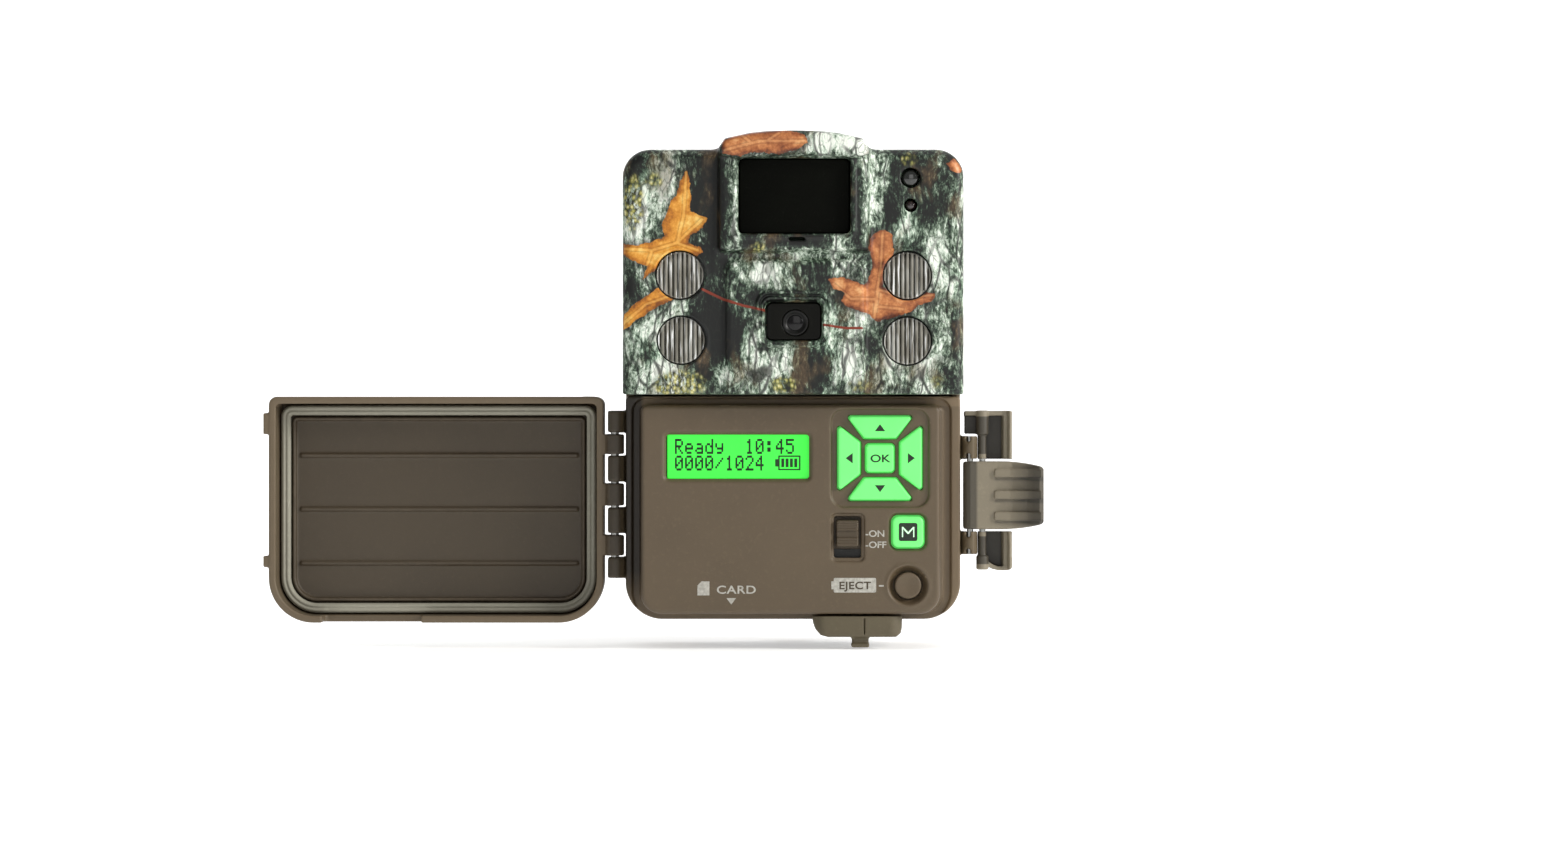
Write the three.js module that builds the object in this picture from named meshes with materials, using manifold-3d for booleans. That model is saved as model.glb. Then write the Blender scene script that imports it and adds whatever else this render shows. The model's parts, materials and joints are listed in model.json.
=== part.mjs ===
// Trail camera, opened for set-up: the front door is swung fully open on its left hinge and
// the draw latch on the right side is released. Millimetres, +Z up, the lens looks along -Y and
// the tree is on the +Y side. The origin is the centre of the tree bracket's back face.
import * as THREE from 'three';
import { mergeVertices } from 'three/addons/utils/BufferGeometryUtils.js';
import Module from 'manifold-3d';

const wasm = await Module();
wasm.setup();

// ---------------------------------------------------------------- driving dimensions
const BODY_DROP = 57;            // bottom of the housing below the origin
const HALF_W = 40.9;             // half width of the rear housing and the lower body
const CAP_HALF_W = 41.25;        // half width of the camouflaged front housing
const CAP_LOW = 54.8;            // its lower edge above the housing's bottom
const TOP = 114.1;               // its upper edge
const R_TOP = 6.8;               // upper corner radius
const R_LOW = 9.0;               // lower corner radius
const Y_BACK = -8.2;             // back of the rear housing
const Y_RIM = -44.0;             // front rim of the rear housing
const Y_FLANGE = -46.0;          // face that the closed door lands on
const Y_PANEL = -53.0;           // face of the control panel
const Y_FACE = -58.5;            // face of the front housing, level with the closed door
const Y_PLATEAU = -60.0;         // raised area around the lens
const Y_COLUMN = -61.2;          // raised column around the motion sensor
const Y_VISOR = -63.5;           // visor over the motion sensor
const WALL = 2.2;
const GAP = 0.3;                 // clearance between touching pieces

const HINGE = { x: -43.5, y: -46.0, r: 2.3, pin: 1.0, bore: 1.3, low: 10.0, high: 51.0 };
const DOOR_OPEN_DEG = 180;       // how far the door stands open in this pose
const LEVER_AXIS = { x: 43.3, y: -45.2 };
const LINK_OFFSET = 3.0;         // distance from the lever's pin to the hooks' pin
const LENS = { x: 0.4, z: 72.2 };
const IR = [[-27.3, 83.6], [-27.0, 67.9], [27.6, 83.5], [27.6, 67.7]];
const IR_R = 5.7;
const PAD = { x: 21.1, z: 39.4 };
const MODE = { x: 27.9, z: 21.5 };
const EJECT = { x: 27.9, z: 8.5, r: 3.2 };
const SWITCH = { x: 13.2, z: 21.15, travel: 2.2 };
const CELL_R = 7.0, CELL_L = 50.0;
const CARD = { x0: -27, x1: -3, z0: 1.9, z1: 33.9, y0: -49.9, y1: -47.8 };
const JACK = { x: 15.7, y: -48.1 };
const BRACKET = { x: 34, z: 32, t: 3.0, postX: 20, postZ: 24 };

// ---------------------------------------------------------------- geometry helpers
const solid = (geometry) => {
  const g = geometry.clone();
  g.deleteAttribute('normal');
  g.deleteAttribute('uv');
  const m = mergeVertices(g, 1e-4);
  const index = new Uint32Array(m.index.array);
  const at = m.attributes.position.array;
  let volume = 0;
  for (let i = 0; i < index.length; i += 3) {
    const [a, b, c] = [index[i] * 3, index[i + 1] * 3, index[i + 2] * 3];
    volume += at[a] * (at[b + 1] * at[c + 2] - at[b + 2] * at[c + 1])
      + at[a + 1] * (at[b + 2] * at[c] - at[b] * at[c + 2])
      + at[a + 2] * (at[b] * at[c + 1] - at[b + 1] * at[c]);
  }
  // a turned profile drawn the other way round comes out inside out, so its triangles are turned
  if (volume < 0) for (let i = 0; i < index.length; i += 3) [index[i + 1], index[i + 2]] = [index[i + 2], index[i + 1]];
  const made = new wasm.Manifold(new wasm.Mesh({
    numProp: 3, vertProperties: new Float32Array(m.attributes.position.array), triVerts: index,
  }));
  return made;
};
const join = (...s) => s.reduce((a, b) => a.add(b));
const cut = (a, ...s) => s.reduce((x, b) => x.subtract(b), a);

const box = (x0, x1, y0, y1, z0, z1) => {
  const g = new THREE.BoxGeometry(x1 - x0, y1 - y0, z1 - z0);
  g.translate((x0 + x1) / 2, (y0 + y1) / 2, (z0 + z1) / 2);
  return solid(g);
};
// rounded rectangle, radii given as [lower left, lower right, upper right, upper left]
const rrect = (x0, x1, z0, z1, r, n = 5) => {
  const [a, b, c, d] = Array.isArray(r) ? r : [r, r, r, r];
  const pts = [];
  const arc = (cx, cz, rad, from) => {
    if (rad <= 0) { pts.push(new THREE.Vector2(cx, cz)); return; }
    for (let i = 0; i <= n; i += 1) {
      const t = from + (Math.PI / 2) * (i / n);
      pts.push(new THREE.Vector2(cx + rad * Math.cos(t), cz + rad * Math.sin(t)));
    }
  };
  arc(x0 + a, z0 + a, a, Math.PI);
  arc(x1 - b, z0 + b, b, 1.5 * Math.PI);
  arc(x1 - c, z1 - c, c, 0);
  arc(x0 + d, z1 - d, d, 0.5 * Math.PI);
  return new THREE.Shape(pts);
};
const poly = (...p) => new THREE.Shape(p.map(([a, b]) => new THREE.Vector2(a, b)));
const circle = (cx, cz, r, n = 24) => {
  const pts = [];
  for (let i = 0; i < n; i += 1) {
    const t = (2 * Math.PI * (i + 0.5)) / n;
    pts.push(new THREE.Vector2(cx + r * Math.cos(t), cz + r * Math.sin(t)));
  }
  return new THREE.Shape(pts);
};
const extrude = (shape, depth) => new THREE.ExtrudeGeometry(shape, { depth, bevelEnabled: false, curveSegments: 6 });
// outline in X and Z, pushed along Y from y0 to y1
const alongY = (shape, y0, y1) => {
  const g = extrude(shape, y1 - y0);
  g.rotateX(Math.PI / 2);
  g.translate(0, y1, 0);
  return solid(g);
};
// outline in X and Y, pushed along Z
const alongZ = (shape, z0, z1) => {
  const g = extrude(shape, z1 - z0);
  g.translate(0, 0, z0);
  return solid(g);
};
// outline in Y and Z, pushed along X
const alongX = (shape, x0, x1) => {
  const g = extrude(shape, x1 - x0);
  g.applyMatrix4(new THREE.Matrix4().set(0, 0, 1, x0, 1, 0, 0, 0, 0, 1, 0, 0, 0, 0, 0, 1));
  return solid(g);
};
const rodY = (x, z, r, y0, y1, n = 24) => alongY(circle(x, z, r, n), y0, y1);
const rodZ = (x, y, r, z0, z1, n = 16) => alongZ(circle(x, y, r, n), z0, z1);
// turned shape about a line parallel to Y: profile of [radius, y] from front to back
const turnedY = (x, z, profile, n = 24) => {
  const g = new THREE.LatheGeometry(profile.map(([r, y]) => new THREE.Vector2(r, y)), n);
  g.translate(x, 0, z);
  return g;
};
const latheY = (x, z, profile, n = 24) => solid(turnedY(x, z, profile, n));
const latheZ = (x, y, profile, n = 24) => {
  const g = new THREE.LatheGeometry(profile.map(([r, z]) => new THREE.Vector2(r, z)), n);
  g.rotateX(Math.PI / 2);
  g.translate(x, y, 0);
  return solid(g);
};

// ---------------------------------------------------------------- assembly
const group = new THREE.Group();
const body = new THREE.Group();
body.position.set(0, 0, -BODY_DROP);
group.add(body);

const paint = (color, roughness = 0.6, metalness = 0) => ({ color, roughness, metalness });
const BROWN = paint(0x6b5f4f, 0.55);
const BROWN_DARK = paint(0x4a4033, 0.6);
const CAMO = paint(0x66705c, 0.6);
const BLACK = paint(0x10110c, 0.25);
const STEEL = paint(0xb9bbbd, 0.3, 0.9);
const BRASS = paint(0xb08d4c, 0.35, 0.9);
const BOARD = paint(0x1f5a34, 0.5);
const RUBBER = paint(0x4b4434, 0.8);
const KEY_GREEN = paint(0x80fa87, 0.5);
const DARK = paint(0x1c1b18, 0.5);

const put = (name, s, look, parent = body) => {
  const m = s.getMesh();
  const n = m.numProp;
  const g = new THREE.BufferGeometry();
  const pos = new Float32Array((m.vertProperties.length / n) * 3);
  for (let i = 0; i < pos.length / 3; i += 1) {
    for (let k = 0; k < 3; k += 1) pos[3 * i + k] = m.vertProperties[n * i + k];
  }
  g.setAttribute('position', new THREE.BufferAttribute(pos, 3));
  g.setIndex(new THREE.BufferAttribute(new Uint32Array(m.triVerts), 1));
  g.computeVertexNormals();
  const mesh = new THREE.Mesh(g, new THREE.MeshStandardMaterial(look));
  mesh.name = name;
  parent.add(mesh);
  return mesh;
};

// ================================================================ rear housing
{
  const inner = HALF_W - WALL;
  let s = alongY(rrect(-HALF_W, HALF_W, 0, TOP - 0.35, [R_LOW, R_LOW, R_TOP, R_TOP]), Y_RIM, Y_BACK);
  s = cut(s, alongY(rrect(-inner, inner, WALL, TOP - 0.35 - WALL, [7, 7, 4.8, 4.8]), Y_RIM - 1, Y_BACK - 2.2));
  // box of the battery bay, open at the bottom
  s = join(s, box(-25, 25, -43.4, Y_BACK - 1, 0, 61.6));
  s = cut(s, box(-23.4, 23.4, -42.0, Y_BACK - 2.2, -1, 60.0));
  // window in the bay's right wall for the tray catch
  s = cut(s, box(23, 26, -42.6, -36.4, 5.3, 11.7));
  // threaded boss at the lower back
  s = join(s, alongZ(rrect(-5.9, 5.9, -9.0, -0.3, [0, 0, 3.4, 3.4]), 0, 12));
  s = cut(s, rodZ(0, -5.4, 4.4, -1, 9.6, 20));
  // hinge knuckles
  for (const [a, b] of [[10, 15.2], [21, 27.4], [33.6, 40], [45.6, 51]]) {
    const arm = poly([-40.5, -39.2], [-41.4, -39.0], [-45.3, -44.5], [-45.2, -47.2], [-43.9, -48.2], [-42.6, -48.0], [-41.6, -47.0], [-41.25, -45.6], [-41.2, -43.8], [-40.5, -43.6]);
    s = join(s, alongZ(arm, a, b));
  }
  s = cut(s, rodZ(HINGE.x, HINGE.y, HINGE.bore, 9, 52, 16));
  // ears of the latch
  for (const [a, b] of [[15.8, 21.5], [39.1, 44.8]]) {
    const ear = poly([40.5, -38.6], [40.5, -43.6], [41.25, -43.8], [41.5, -45.6], [42.1, -46.6], [43.0, -47.0], [44.0, -46.9], [44.9, -46.0], [45.15, -45.0], [44.9, -44.2], [44.2, -43.65], [43.2, -43.4], [42.3, -43.25], [41.8, -42.4], [41.5, -40.6]);
    s = join(s, alongZ(ear, a, b));
  }
  s = cut(s, rodZ(LEVER_AXIS.x, LEVER_AXIS.y, 1.1, 14.9, 45.6, 14));
  put('rear_housing', s, BROWN);
  // pressed brass thread in the boss
  put('tripod_insert', latheZ(0, -5.4, [[3.1, 0], [4.1, 0], [4.1, 9.2], [3.1, 9.2], [3.1, 0]], 20), BRASS);
}

// ================================================================ tree bracket
{
  const { x, z, t, postX, postZ } = BRACKET;
  const c = BODY_DROP;
  // side edges carry bark teeth
  const pts = [];
  const teeth = 9;
  pts.push([-x + 3, c - z], [x - 3, c - z]);
  for (let i = 0; i < teeth; i += 1) {
    const a = c - z + 3 + ((2 * z - 6) * i) / teeth;
    const b = c - z + 3 + ((2 * z - 6) * (i + 0.5)) / teeth;
    pts.push([x, a], [x - 3.2, b]);
  }
  pts.push([x, c + z - 3], [x - 3, c + z], [-x + 3, c + z], [-x, c + z - 3]);
  for (let i = teeth - 1; i >= 0; i -= 1) {
    const a = c - z + 3 + ((2 * z - 6) * i) / teeth;
    const b = c - z + 3 + ((2 * z - 6) * (i + 0.5)) / teeth;
    pts.push([-x + 3.2, b], [-x, a]);
  }
  let s = alongY(poly(...pts), -t, 0);
  for (const sx of [-1, 1]) for (const sz of [-1, 1]) s = join(s, rodY(sx * postX, c + sz * postZ, 4.5, Y_BACK + GAP, -t + 0.5, 16));
  for (const sx of [-1, 1]) for (const sz of [-1, 1]) s = cut(s, rodY(sx * postX, c + sz * postZ, 1.8, Y_BACK - 1, 1, 12), rodY(sx * postX, c + sz * postZ, 3.5, -2.0, 1, 12));
  put('mount_bracket', s, BROWN_DARK);
  let k = 0;
  for (const sz of [1, -1]) for (const sx of [-1, 1]) {
    k += 1;
    put(`bracket_screw_${k}`, latheY(sx * postX, c + sz * postZ, [[0, -0.5], [3.1, -0.5], [3.1, -1.6], [1.45, -1.6], [1.45, -7.7], [0, -7.7]].reverse(), 12), STEEL);
  }
}

// ================================================================ front housing (camouflaged)
{
  let s = alongY(rrect(-CAP_HALF_W, CAP_HALF_W, CAP_LOW, TOP, [1.2, 1.2, R_TOP, R_TOP], 6), Y_FACE, Y_RIM - GAP);
  // motion sensor column and the brow above it
  const brow = [[-17.9, 89.6], [18.3, 89.6], [18.3, 114.2], [16.7, 116.4], [11, 117.5], [5, 118.1], [0.2, 118.3], [-4.6, 118.1], [-10.6, 117.5], [-16.3, 116.4], [-17.9, 114.2]];
  s = join(s, alongY(poly(...brow), Y_COLUMN, Y_RIM - GAP));
  const visor = [[-17.9, 112.4], [-13.4, 111.2], [-6, 112.0], [0.4, 112.2], [7, 112.0], [14, 111.2], [18.3, 112.4], [18.3, 114.2], [16.7, 116.4], [11, 117.5], [5, 118.1], [0.2, 118.3], [-4.6, 118.1], [-10.6, 117.5], [-16.3, 116.4], [-17.9, 114.2]];
  s = join(s, alongY(poly(...visor), Y_VISOR, Y_COLUMN + 0.5));
  // plateau around the lens
  s = join(s, alongY(rrect(-16.0, 17.2, CAP_LOW, 87.0, [0, 0, 3, 3]), Y_PLATEAU, Y_FACE + 1));
  // hollow
  s = cut(s, alongY(rrect(-39.05, 39.05, CAP_LOW + WALL, TOP - WALL, [1, 1, 4.8, 4.8]), Y_FACE + WALL, Y_RIM + 1));
  s = cut(s, box(-15.6, 16.0, Y_COLUMN + WALL, Y_RIM + 1, 91.6, 115.2));
  // openings for the windows
  s = cut(s, alongY(rrect(-13.2, 13.8, 93.5, 111.6, 1.2, 3), Y_VISOR - 1, -50));
  s = cut(s, alongY(rrect(LENS.x - 6.9, LENS.x + 6.9, LENS.z - 4.7, LENS.z + 4.7, 1.6, 3), -62, -50));
  s = cut(s, alongY(rrect(LENS.x - 8.2, LENS.x + 8.2, LENS.z - 6.0, LENS.z + 6.0, 2.2, 3), -62, Y_PLATEAU + 0.9));
  for (const [x, z] of IR) s = cut(s, rodY(x, z, IR_R + GAP, -62, -50, 24));
  s = cut(s, rodY(28.4, 107.1, 2.4, -62, -50, 16), rodY(28.4, 100.5, 1.6, -62, -50, 12));
  s = cut(s, alongY(rrect(-1.05, 2.85, 92.2 - 0.3, 92.2 + 0.5, 0.35, 2), -64, -50));
  put('front_housing', s, CAMO);

  // windows
  put('pir_window', alongY(rrect(-15.0, 15.4, 92.0, 113.0, 1.6, 3), -58.7, -57.7).subtract(box(-1.6, 3.4, -60, -57, 90, 92.9)), BLACK);
  put('pir_sensor', join(rodY(0.4, 101, 4.6, -55.6, -52.0, 20), rodY(0.4, 101, 5.2, -52.4, -51.4, 20)), STEEL);
  put('microphone', rodY(0.9, 89.2, 2.0, -55.4, -53.2, 14), STEEL);
  put('lens_window', alongY(rrect(LENS.x - 6.55, LENS.x + 6.55, LENS.z - 4.4, LENS.z + 4.4, 1.4, 3), -58.7, -57.6), BLACK);
  put('lens_barrel', latheY(LENS.x, LENS.z, [[0, -56.2], [3.0, -56.2], [3.3, -57.0], [4.2, -57.0], [4.2, -52.9], [0, -52.9]].reverse(), 20), DARK);
  put('lens_holder', cut(box(LENS.x - 6.5, LENS.x + 6.5, -54.2, -50.4, LENS.z - 6.5, LENS.z + 6.5), rodY(LENS.x, LENS.z, 4.5, -60, -52.6, 20)), DARK);
  IR.forEach(([x, z], i) => {
    const name = ['ir_window_upper_left', 'ir_window_lower_left', 'ir_window_upper_right', 'ir_window_lower_right'][i];
    put(name, join(rodY(x, z, IR_R, -58.2, -56.6, 24), rodY(x, z, IR_R + 0.9, -56.0 + 0.1, -55.0, 24), rodY(x, z, IR_R, -56.8, -55.4, 24)), paint(0x8e8b7d, 0.2));
  });
  // infra-red emitter boards, with their emitters
  for (const [name, side] of [['led_board_left', -1], ['led_board_right', 1]]) {
    const cx = side < 0 ? -27.2 : 27.6;
    let b = alongY(rrect(cx - 7.5, cx + 7.5, 60.4, 91.0, 1.5, 2), -53.4, -52.2);
    for (const [x, z] of IR) if (Math.sign(x) === side) {
      for (const dx of [-2.4, 2.4]) for (const dz of [-2.4, 2.4]) b = join(b, rodY(x + dx, z + dz, 1.3, -54.6, -53.0, 8));
    }
    put(name, b, paint(0x2b3b2c, 0.5));
  }
  put('light_sensor_window', join(rodY(28.4, 107.1, 2.1, -57.6, -55.6, 16)), paint(0x2a2f26, 0.2));
  put('indicator_led', join(rodY(28.4, 100.5, 1.3, -57.8, -52.6, 12), rodY(28.4, 100.5, 1.9, -53.4, -52.4, 12)), paint(0x3b1a12, 0.25));
  // main circuit board with its processor and connectors
  let board = cut(alongY(rrect(-34, 34, 60.2, 109.5, 2, 2), -50.1, -48.5), box(-1.5, 1.5, -51, -48, 108, 111));
  board = join(board, box(-9, 5, -48.6, -47.0, 78, 92), box(12, 24, -48.6, -47.2, 84, 92), box(-26, -12, -48.6, -46.6, 64, 69), box(14, 26, -48.6, -45.8, 63, 68));
  put('main_board', board, BOARD);
}

// ================================================================ control panel
{
  const back = Y_PANEL + WALL;   // inner face of the panel's front wall
  let s = alongY(rrect(-HALF_W, HALF_W, 0, CAP_LOW - GAP, [R_LOW, R_LOW, 1, 1], 6), Y_FLANGE, Y_RIM - GAP);
  s = join(s, alongY(rrect(-37.0, 35.7, 1.6, 52.3, [5, 5, 1.5, 1.5]), Y_PANEL, Y_FLANGE + 1));
  s = cut(s, alongY(rrect(-34.8, 33.5, 3.8, 50.1, [3, 3, 1, 1]), back, Y_RIM + 1));
  // display: shallow frame, then the opening, with a rebate behind it
  s = cut(s, alongY(rrect(-31.9, 5.0, 33.3, 45.9, 1.6, 3), Y_PANEL - 1, Y_PANEL + 0.7));
  s = cut(s, alongY(rrect(-29.5, 3.2, 35.2, 44.8, 1.0, 3), Y_PANEL - 1, back + 1));
  s = cut(s, box(-30.9, 4.6, -51.9, back + 1, 34.0, 46.1));
  // five-way pad
  s = cut(s, alongY(rrect(PAD.x - 11.8, PAD.x + 11.8, PAD.z - 11.85, PAD.z + 11.85, 3, 4), Y_PANEL - 1, Y_PANEL + 0.8));
  const g = 0.35;
  s = cut(s, box(PAD.x - 3.3 - g, PAD.x + 3.3 + g, -60, back + 1, PAD.z - 3.3 - g, PAD.z + 3.3 + g));
  const key = (dir, grow, wide = grow) => {
    const a = 10.0 + grow, b = 5.0 - grow * 0.6, wa = 7.7 + wide * 1.3, wb = 4.0 + wide * 0.3;
    const at = { up: [[-wb, b], [wb, b], [wa, a], [-wa, a]], down: [[-wa, -a], [wa, -a], [wb, -b], [-wb, -b]], left: [[-a, -wa], [-b, -wb], [-b, wb], [-a, wa]], right: [[b, -wb], [a, -wa], [a, wa], [b, wb]] }[dir];
    return poly(...at.map(([u, v]) => [PAD.x + u, PAD.z + v]));
  };
  for (const dir of ['up', 'down', 'left', 'right']) s = cut(s, alongY(key(dir, g), -60, back + 1));
  // menu key
  s = cut(s, alongY(rrect(MODE.x - 4.5, MODE.x + 4.5, MODE.z - 4.4, MODE.z + 4.4, 1.8, 3), Y_PANEL - 1, Y_PANEL + 0.8));
  s = cut(s, alongY(rrect(MODE.x - 3.75 - g, MODE.x + 3.75 + g, MODE.z - 3.75 - g, MODE.z + 3.75 + g, 1.5, 3), -60, back + 1));
  // slide switch
  s = cut(s, alongY(rrect(9.4, 17.2, 14.4, 25.9, 1.0, 3), Y_PANEL - 1, Y_PANEL + 0.5));
  s = cut(s, box(9.9, 16.5, -60, back + 1, 15.2, 25.2));
  // eject button and its well
  s = cut(s, rodY(EJECT.x, EJECT.z, 4.6, -60, Y_PANEL + 1.2, 24), rodY(EJECT.x, EJECT.z, EJECT.r + g, -60, back + 1, 20));
  // memory card slot in the lower side
  s = cut(s, box(CARD.x0 - 0.4, CARD.x1 + 0.4, CARD.y0 - 0.35, CARD.y1 + 0.35, 0, 5));
  // mouth of the external power socket
  s = cut(s, rodZ(JACK.x, JACK.y, 2.9, -1, 5, 16));
  put('control_panel', s, BROWN);

  // keys
  const keyBody = (shape, lip) => join(alongY(shape, -53.5, -49.0), alongY(lip, -50.3, -49.6));
  for (const dir of ['up', 'down', 'left', 'right']) put(`key_${dir}`, keyBody(key(dir, 0), key(dir, 0.6, 0.3)), KEY_GREEN);
  put('key_ok', keyBody(rrect(PAD.x - 3.3, PAD.x + 3.3, PAD.z - 3.3, PAD.z + 3.3, 0.7, 2), rrect(PAD.x - 3.8, PAD.x + 3.8, PAD.z - 3.8, PAD.z + 3.8, 0.7, 2)), KEY_GREEN);
  put('key_menu', keyBody(rrect(MODE.x - 3.75, MODE.x + 3.75, MODE.z - 3.75, MODE.z + 3.75, 1.5, 3), rrect(MODE.x - 4.5, MODE.x + 4.5, MODE.z - 4.5, MODE.z + 4.5, 1.5, 3)), KEY_GREEN);

  // display and the board behind the panel
  put('lcd_window', box(-30.6, 4.3, -51.6, -50.9, 34.3, 45.8), paint(0x4cf853, 0.2));
  put('lcd_module', join(box(-33.0, 6.8, -50.5, -47.6, 34.5, 48.4), box(-30, 3.6, -47.8, -47.1, 35, 47)), DARK);
  let ui = alongY(rrect(-34.3, 33.0, 4.3, 49.6, 2.5, 3), -46.8, -45.2);
  ui = cut(ui, box(10.6, 20.8, -48, -44, 0, 13.9), rodY(EJECT.x, EJECT.z, 3.4, -48, -44, 16));
  ui = join(ui, box(-6, 5, -45.3, -44.3, 14, 25));
  put('ui_board', ui, BOARD);

  // power switch
  let knob = join(box(10.5, 15.9, -53.7, -50.4, 17.9, 24.4), box(9.2, 17.2, -50.5, -50.1, 17.3, 25.8), box(12.5, 13.9, -50.2, -48.9, 20.2, 22.2));
  knob = cut(knob, box(10, 16.4, -54, -53.2, 20.2, 21.6));
  put('power_switch_knob', knob, BROWN_DARK);
  put('power_switch_body', cut(box(9.0, 17.4, -49.7, -47.1, 14.3, 26.2), box(12.1, 14.3, -50, -48.5, 17.2, 23.0)), STEEL);

  // eject button, its return spring, and the catch it works
  put('eject_button', latheY(EJECT.x, EJECT.z, [[0, -53.3], [2.7, -53.3], [EJECT.r, -52.9], [EJECT.r, -50.3], [4.0, -50.3], [4.0, -49.5], [1.5, -49.5], [1.5, -44.2], [0, -44.2]].reverse(), 20), BROWN);
  const turns = 4, start = -49.1, end = -43.7;
  const coil = [];
  for (let i = 0; i <= turns * 10; i += 1) {
    const t = (i / 10) * 2 * Math.PI;
    coil.push(new THREE.Vector3(EJECT.x + 2.45 * Math.cos(t), start + ((end - start) * i) / (turns * 10), EJECT.z + 2.45 * Math.sin(t)));
  }
  const wire = new THREE.ExtrudeGeometry(circle(0, 0, 0.28, 6), { steps: turns * 10, bevelEnabled: false, extrudePath: new THREE.CatmullRomCurve3(coil) });
  put('eject_spring', solid(wire), STEEL);
  // the catch slides towards +X; its nose sits in the groove of the battery tray
  let latch = join(box(22.4, 30.4, -41.7, -38.2, 6.2, 10.8), box(25.4, 30.4, -42.2, -36.8, 5.7, 11.3));
  latch = cut(latch, alongZ(poly([26.2, -43], [29.9, -43], [28.0, -40.6], [26.2, -40.6]), 6.6, 10.4));
  put('tray_catch', latch, DARK);
}

// ================================================================ battery tray
{
  let s = cut(box(-23, 23, -41.7, -10.8, 0, 58.6), box(-21.9, 21.9, -42.5, -26.7, 2.4, 56.2), box(-21.9, 21.9, -25.7, -10, 2.4, 56.2));
  // troughs between neighbouring cells
  for (const x of [-7.3, 7.3]) s = join(s, box(x - 0.25, x + 0.25, -30, -22.4, 4.6, 54.0));
  // room under and over the middle wall for the contact boards
  s = cut(s, box(-21.9, 21.9, -42.5, -10, 2.4, 4.0), box(-21.9, 21.9, -42.5, -10, 54.6, 56.2));
  // wire slots in the middle wall, the catch's groove and the finger groove underneath
  s = cut(s, box(-18, -11, -27, -25, 20, 38), box(11, 18, -27, -25, 20, 38));
  s = cut(s, box(21.4, 24, -42.6, -37.8, 5.8, 60));
  s = cut(s, box(-9, 9, -28.5, -24, -1, 1.4));
  put('battery_tray', s, paint(0x2b2a26, 0.6));
  const spots = [];
  for (const y of [-34.3, -18.1]) for (const x of [-14.6, 0, 14.6]) spots.push([x, y]);
  spots.forEach(([x, y], i) => {
    const up = i % 2 === 0;
    const z0 = 4.4, z1 = z0 + CELL_L - 1.4;
    const profile = up
      ? [[0, z0], [CELL_R - 0.4, z0], [CELL_R, z0 + 0.5], [CELL_R, z1], [2.7, z1], [2.7, z1 + 1.4], [0, z1 + 1.4]]
      : [[0, z0], [2.7, z0], [2.7, z0 + 1.4], [CELL_R, z0 + 1.4], [CELL_R, z1 + 0.9], [CELL_R - 0.4, z1 + 1.4], [0, z1 + 1.4]];
    put(`battery_cell_${i + 1}`, latheZ(x, y, profile, 20), paint(0xb57a3a, 0.35, 0.5));
  });
  // sprung contact boards under and over the cells
  let low = box(-21.5, 21.5, -41.0, -11.4, 2.7, 3.3);
  let high = box(-21.5, 21.5, -41.0, -11.4, 55.3, 55.9);
  for (const [x, y] of spots) {
    low = join(low, rodZ(x, y, 2.6, 3.2, 4.1, 10));
    high = join(high, rodZ(x, y, 2.0, 54.7, 55.4, 10));
  }
  put('battery_contacts_lower', low, STEEL);
  put('battery_contacts_upper', high, STEEL);
}

// ================================================================ memory card, its socket, power socket
{
  const { x0, x1, z0, z1, y0, y1 } = CARD;
  let card = alongY(poly([x0, z0], [x1, z0], [x1, z1 - 3.6], [x1 - 3.6, z1], [x0, z1]), y0, y1);
  card = cut(card, box(x0 + 3, x1 - 6, y0 - 1, y0 + 0.25, z0 + 1, z0 + 2));
  put('memory_card', card, paint(0x15181c, 0.5));
  let cage = box(x0 - 1.7, x1 + 1.7, y0 - 0.75, -47.1, 4.3, 31.0);
  cage = cut(cage, box(x0 - 0.35, x1 + 0.35, y0 - 0.35, y1 + 0.3, 0, 34));
  cage = cut(cage, box(x0 + 4, x1 - 4, y0 - 2, y0 + 0.2, 12, 40));
  put('card_socket', cage, STEEL);
  put('dc_jack', cut(box(11.2, 20.2, -50.4, -44.4, 4.2, 13.5), rodZ(JACK.x, -47.6, 2.6, 0, 12, 14)).add(rodZ(JACK.x, -47.6, 1.0, 5, 12.4, 10)), DARK);
}

// ================================================================ weather cover of the power socket
{
  // tapering boss with rounded ends and a pull tab below
  const shape = (grow) => rrect(4.6 + grow, 26.7 - grow, -52.2 + grow * 0.3, -44.9, [2.6, 2.6, 1.6, 1.6], 4);
  let s = null;
  const levels = [[-0.35, 0], [-1.6, 0.5], [-2.8, 1.6], [-3.65, 3.2]];
  for (let i = 0; i < levels.length - 1; i += 1) {
    const slab = alongZ(shape(levels[i][1]), levels[i + 1][0], levels[i][0]);
    s = s ? join(s, slab) : slab;
  }
  s = join(s, alongZ(rrect(14.1, 18.6, -50.6, -48.6, 0.6, 2), -6.0, -2.5));
  s = join(s, alongX(poly([-51.2, -6.7], [-48.0, -6.7], [-48.0, -5.6], [-51.2, -5.6]), 14.1, 18.6));
  // strap that the cover turns on
  s = join(s, box(12.8, 18.6, -45.2, -43.6, -1.6, -0.4));
  put('port_cover', s, RUBBER);
}

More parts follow.
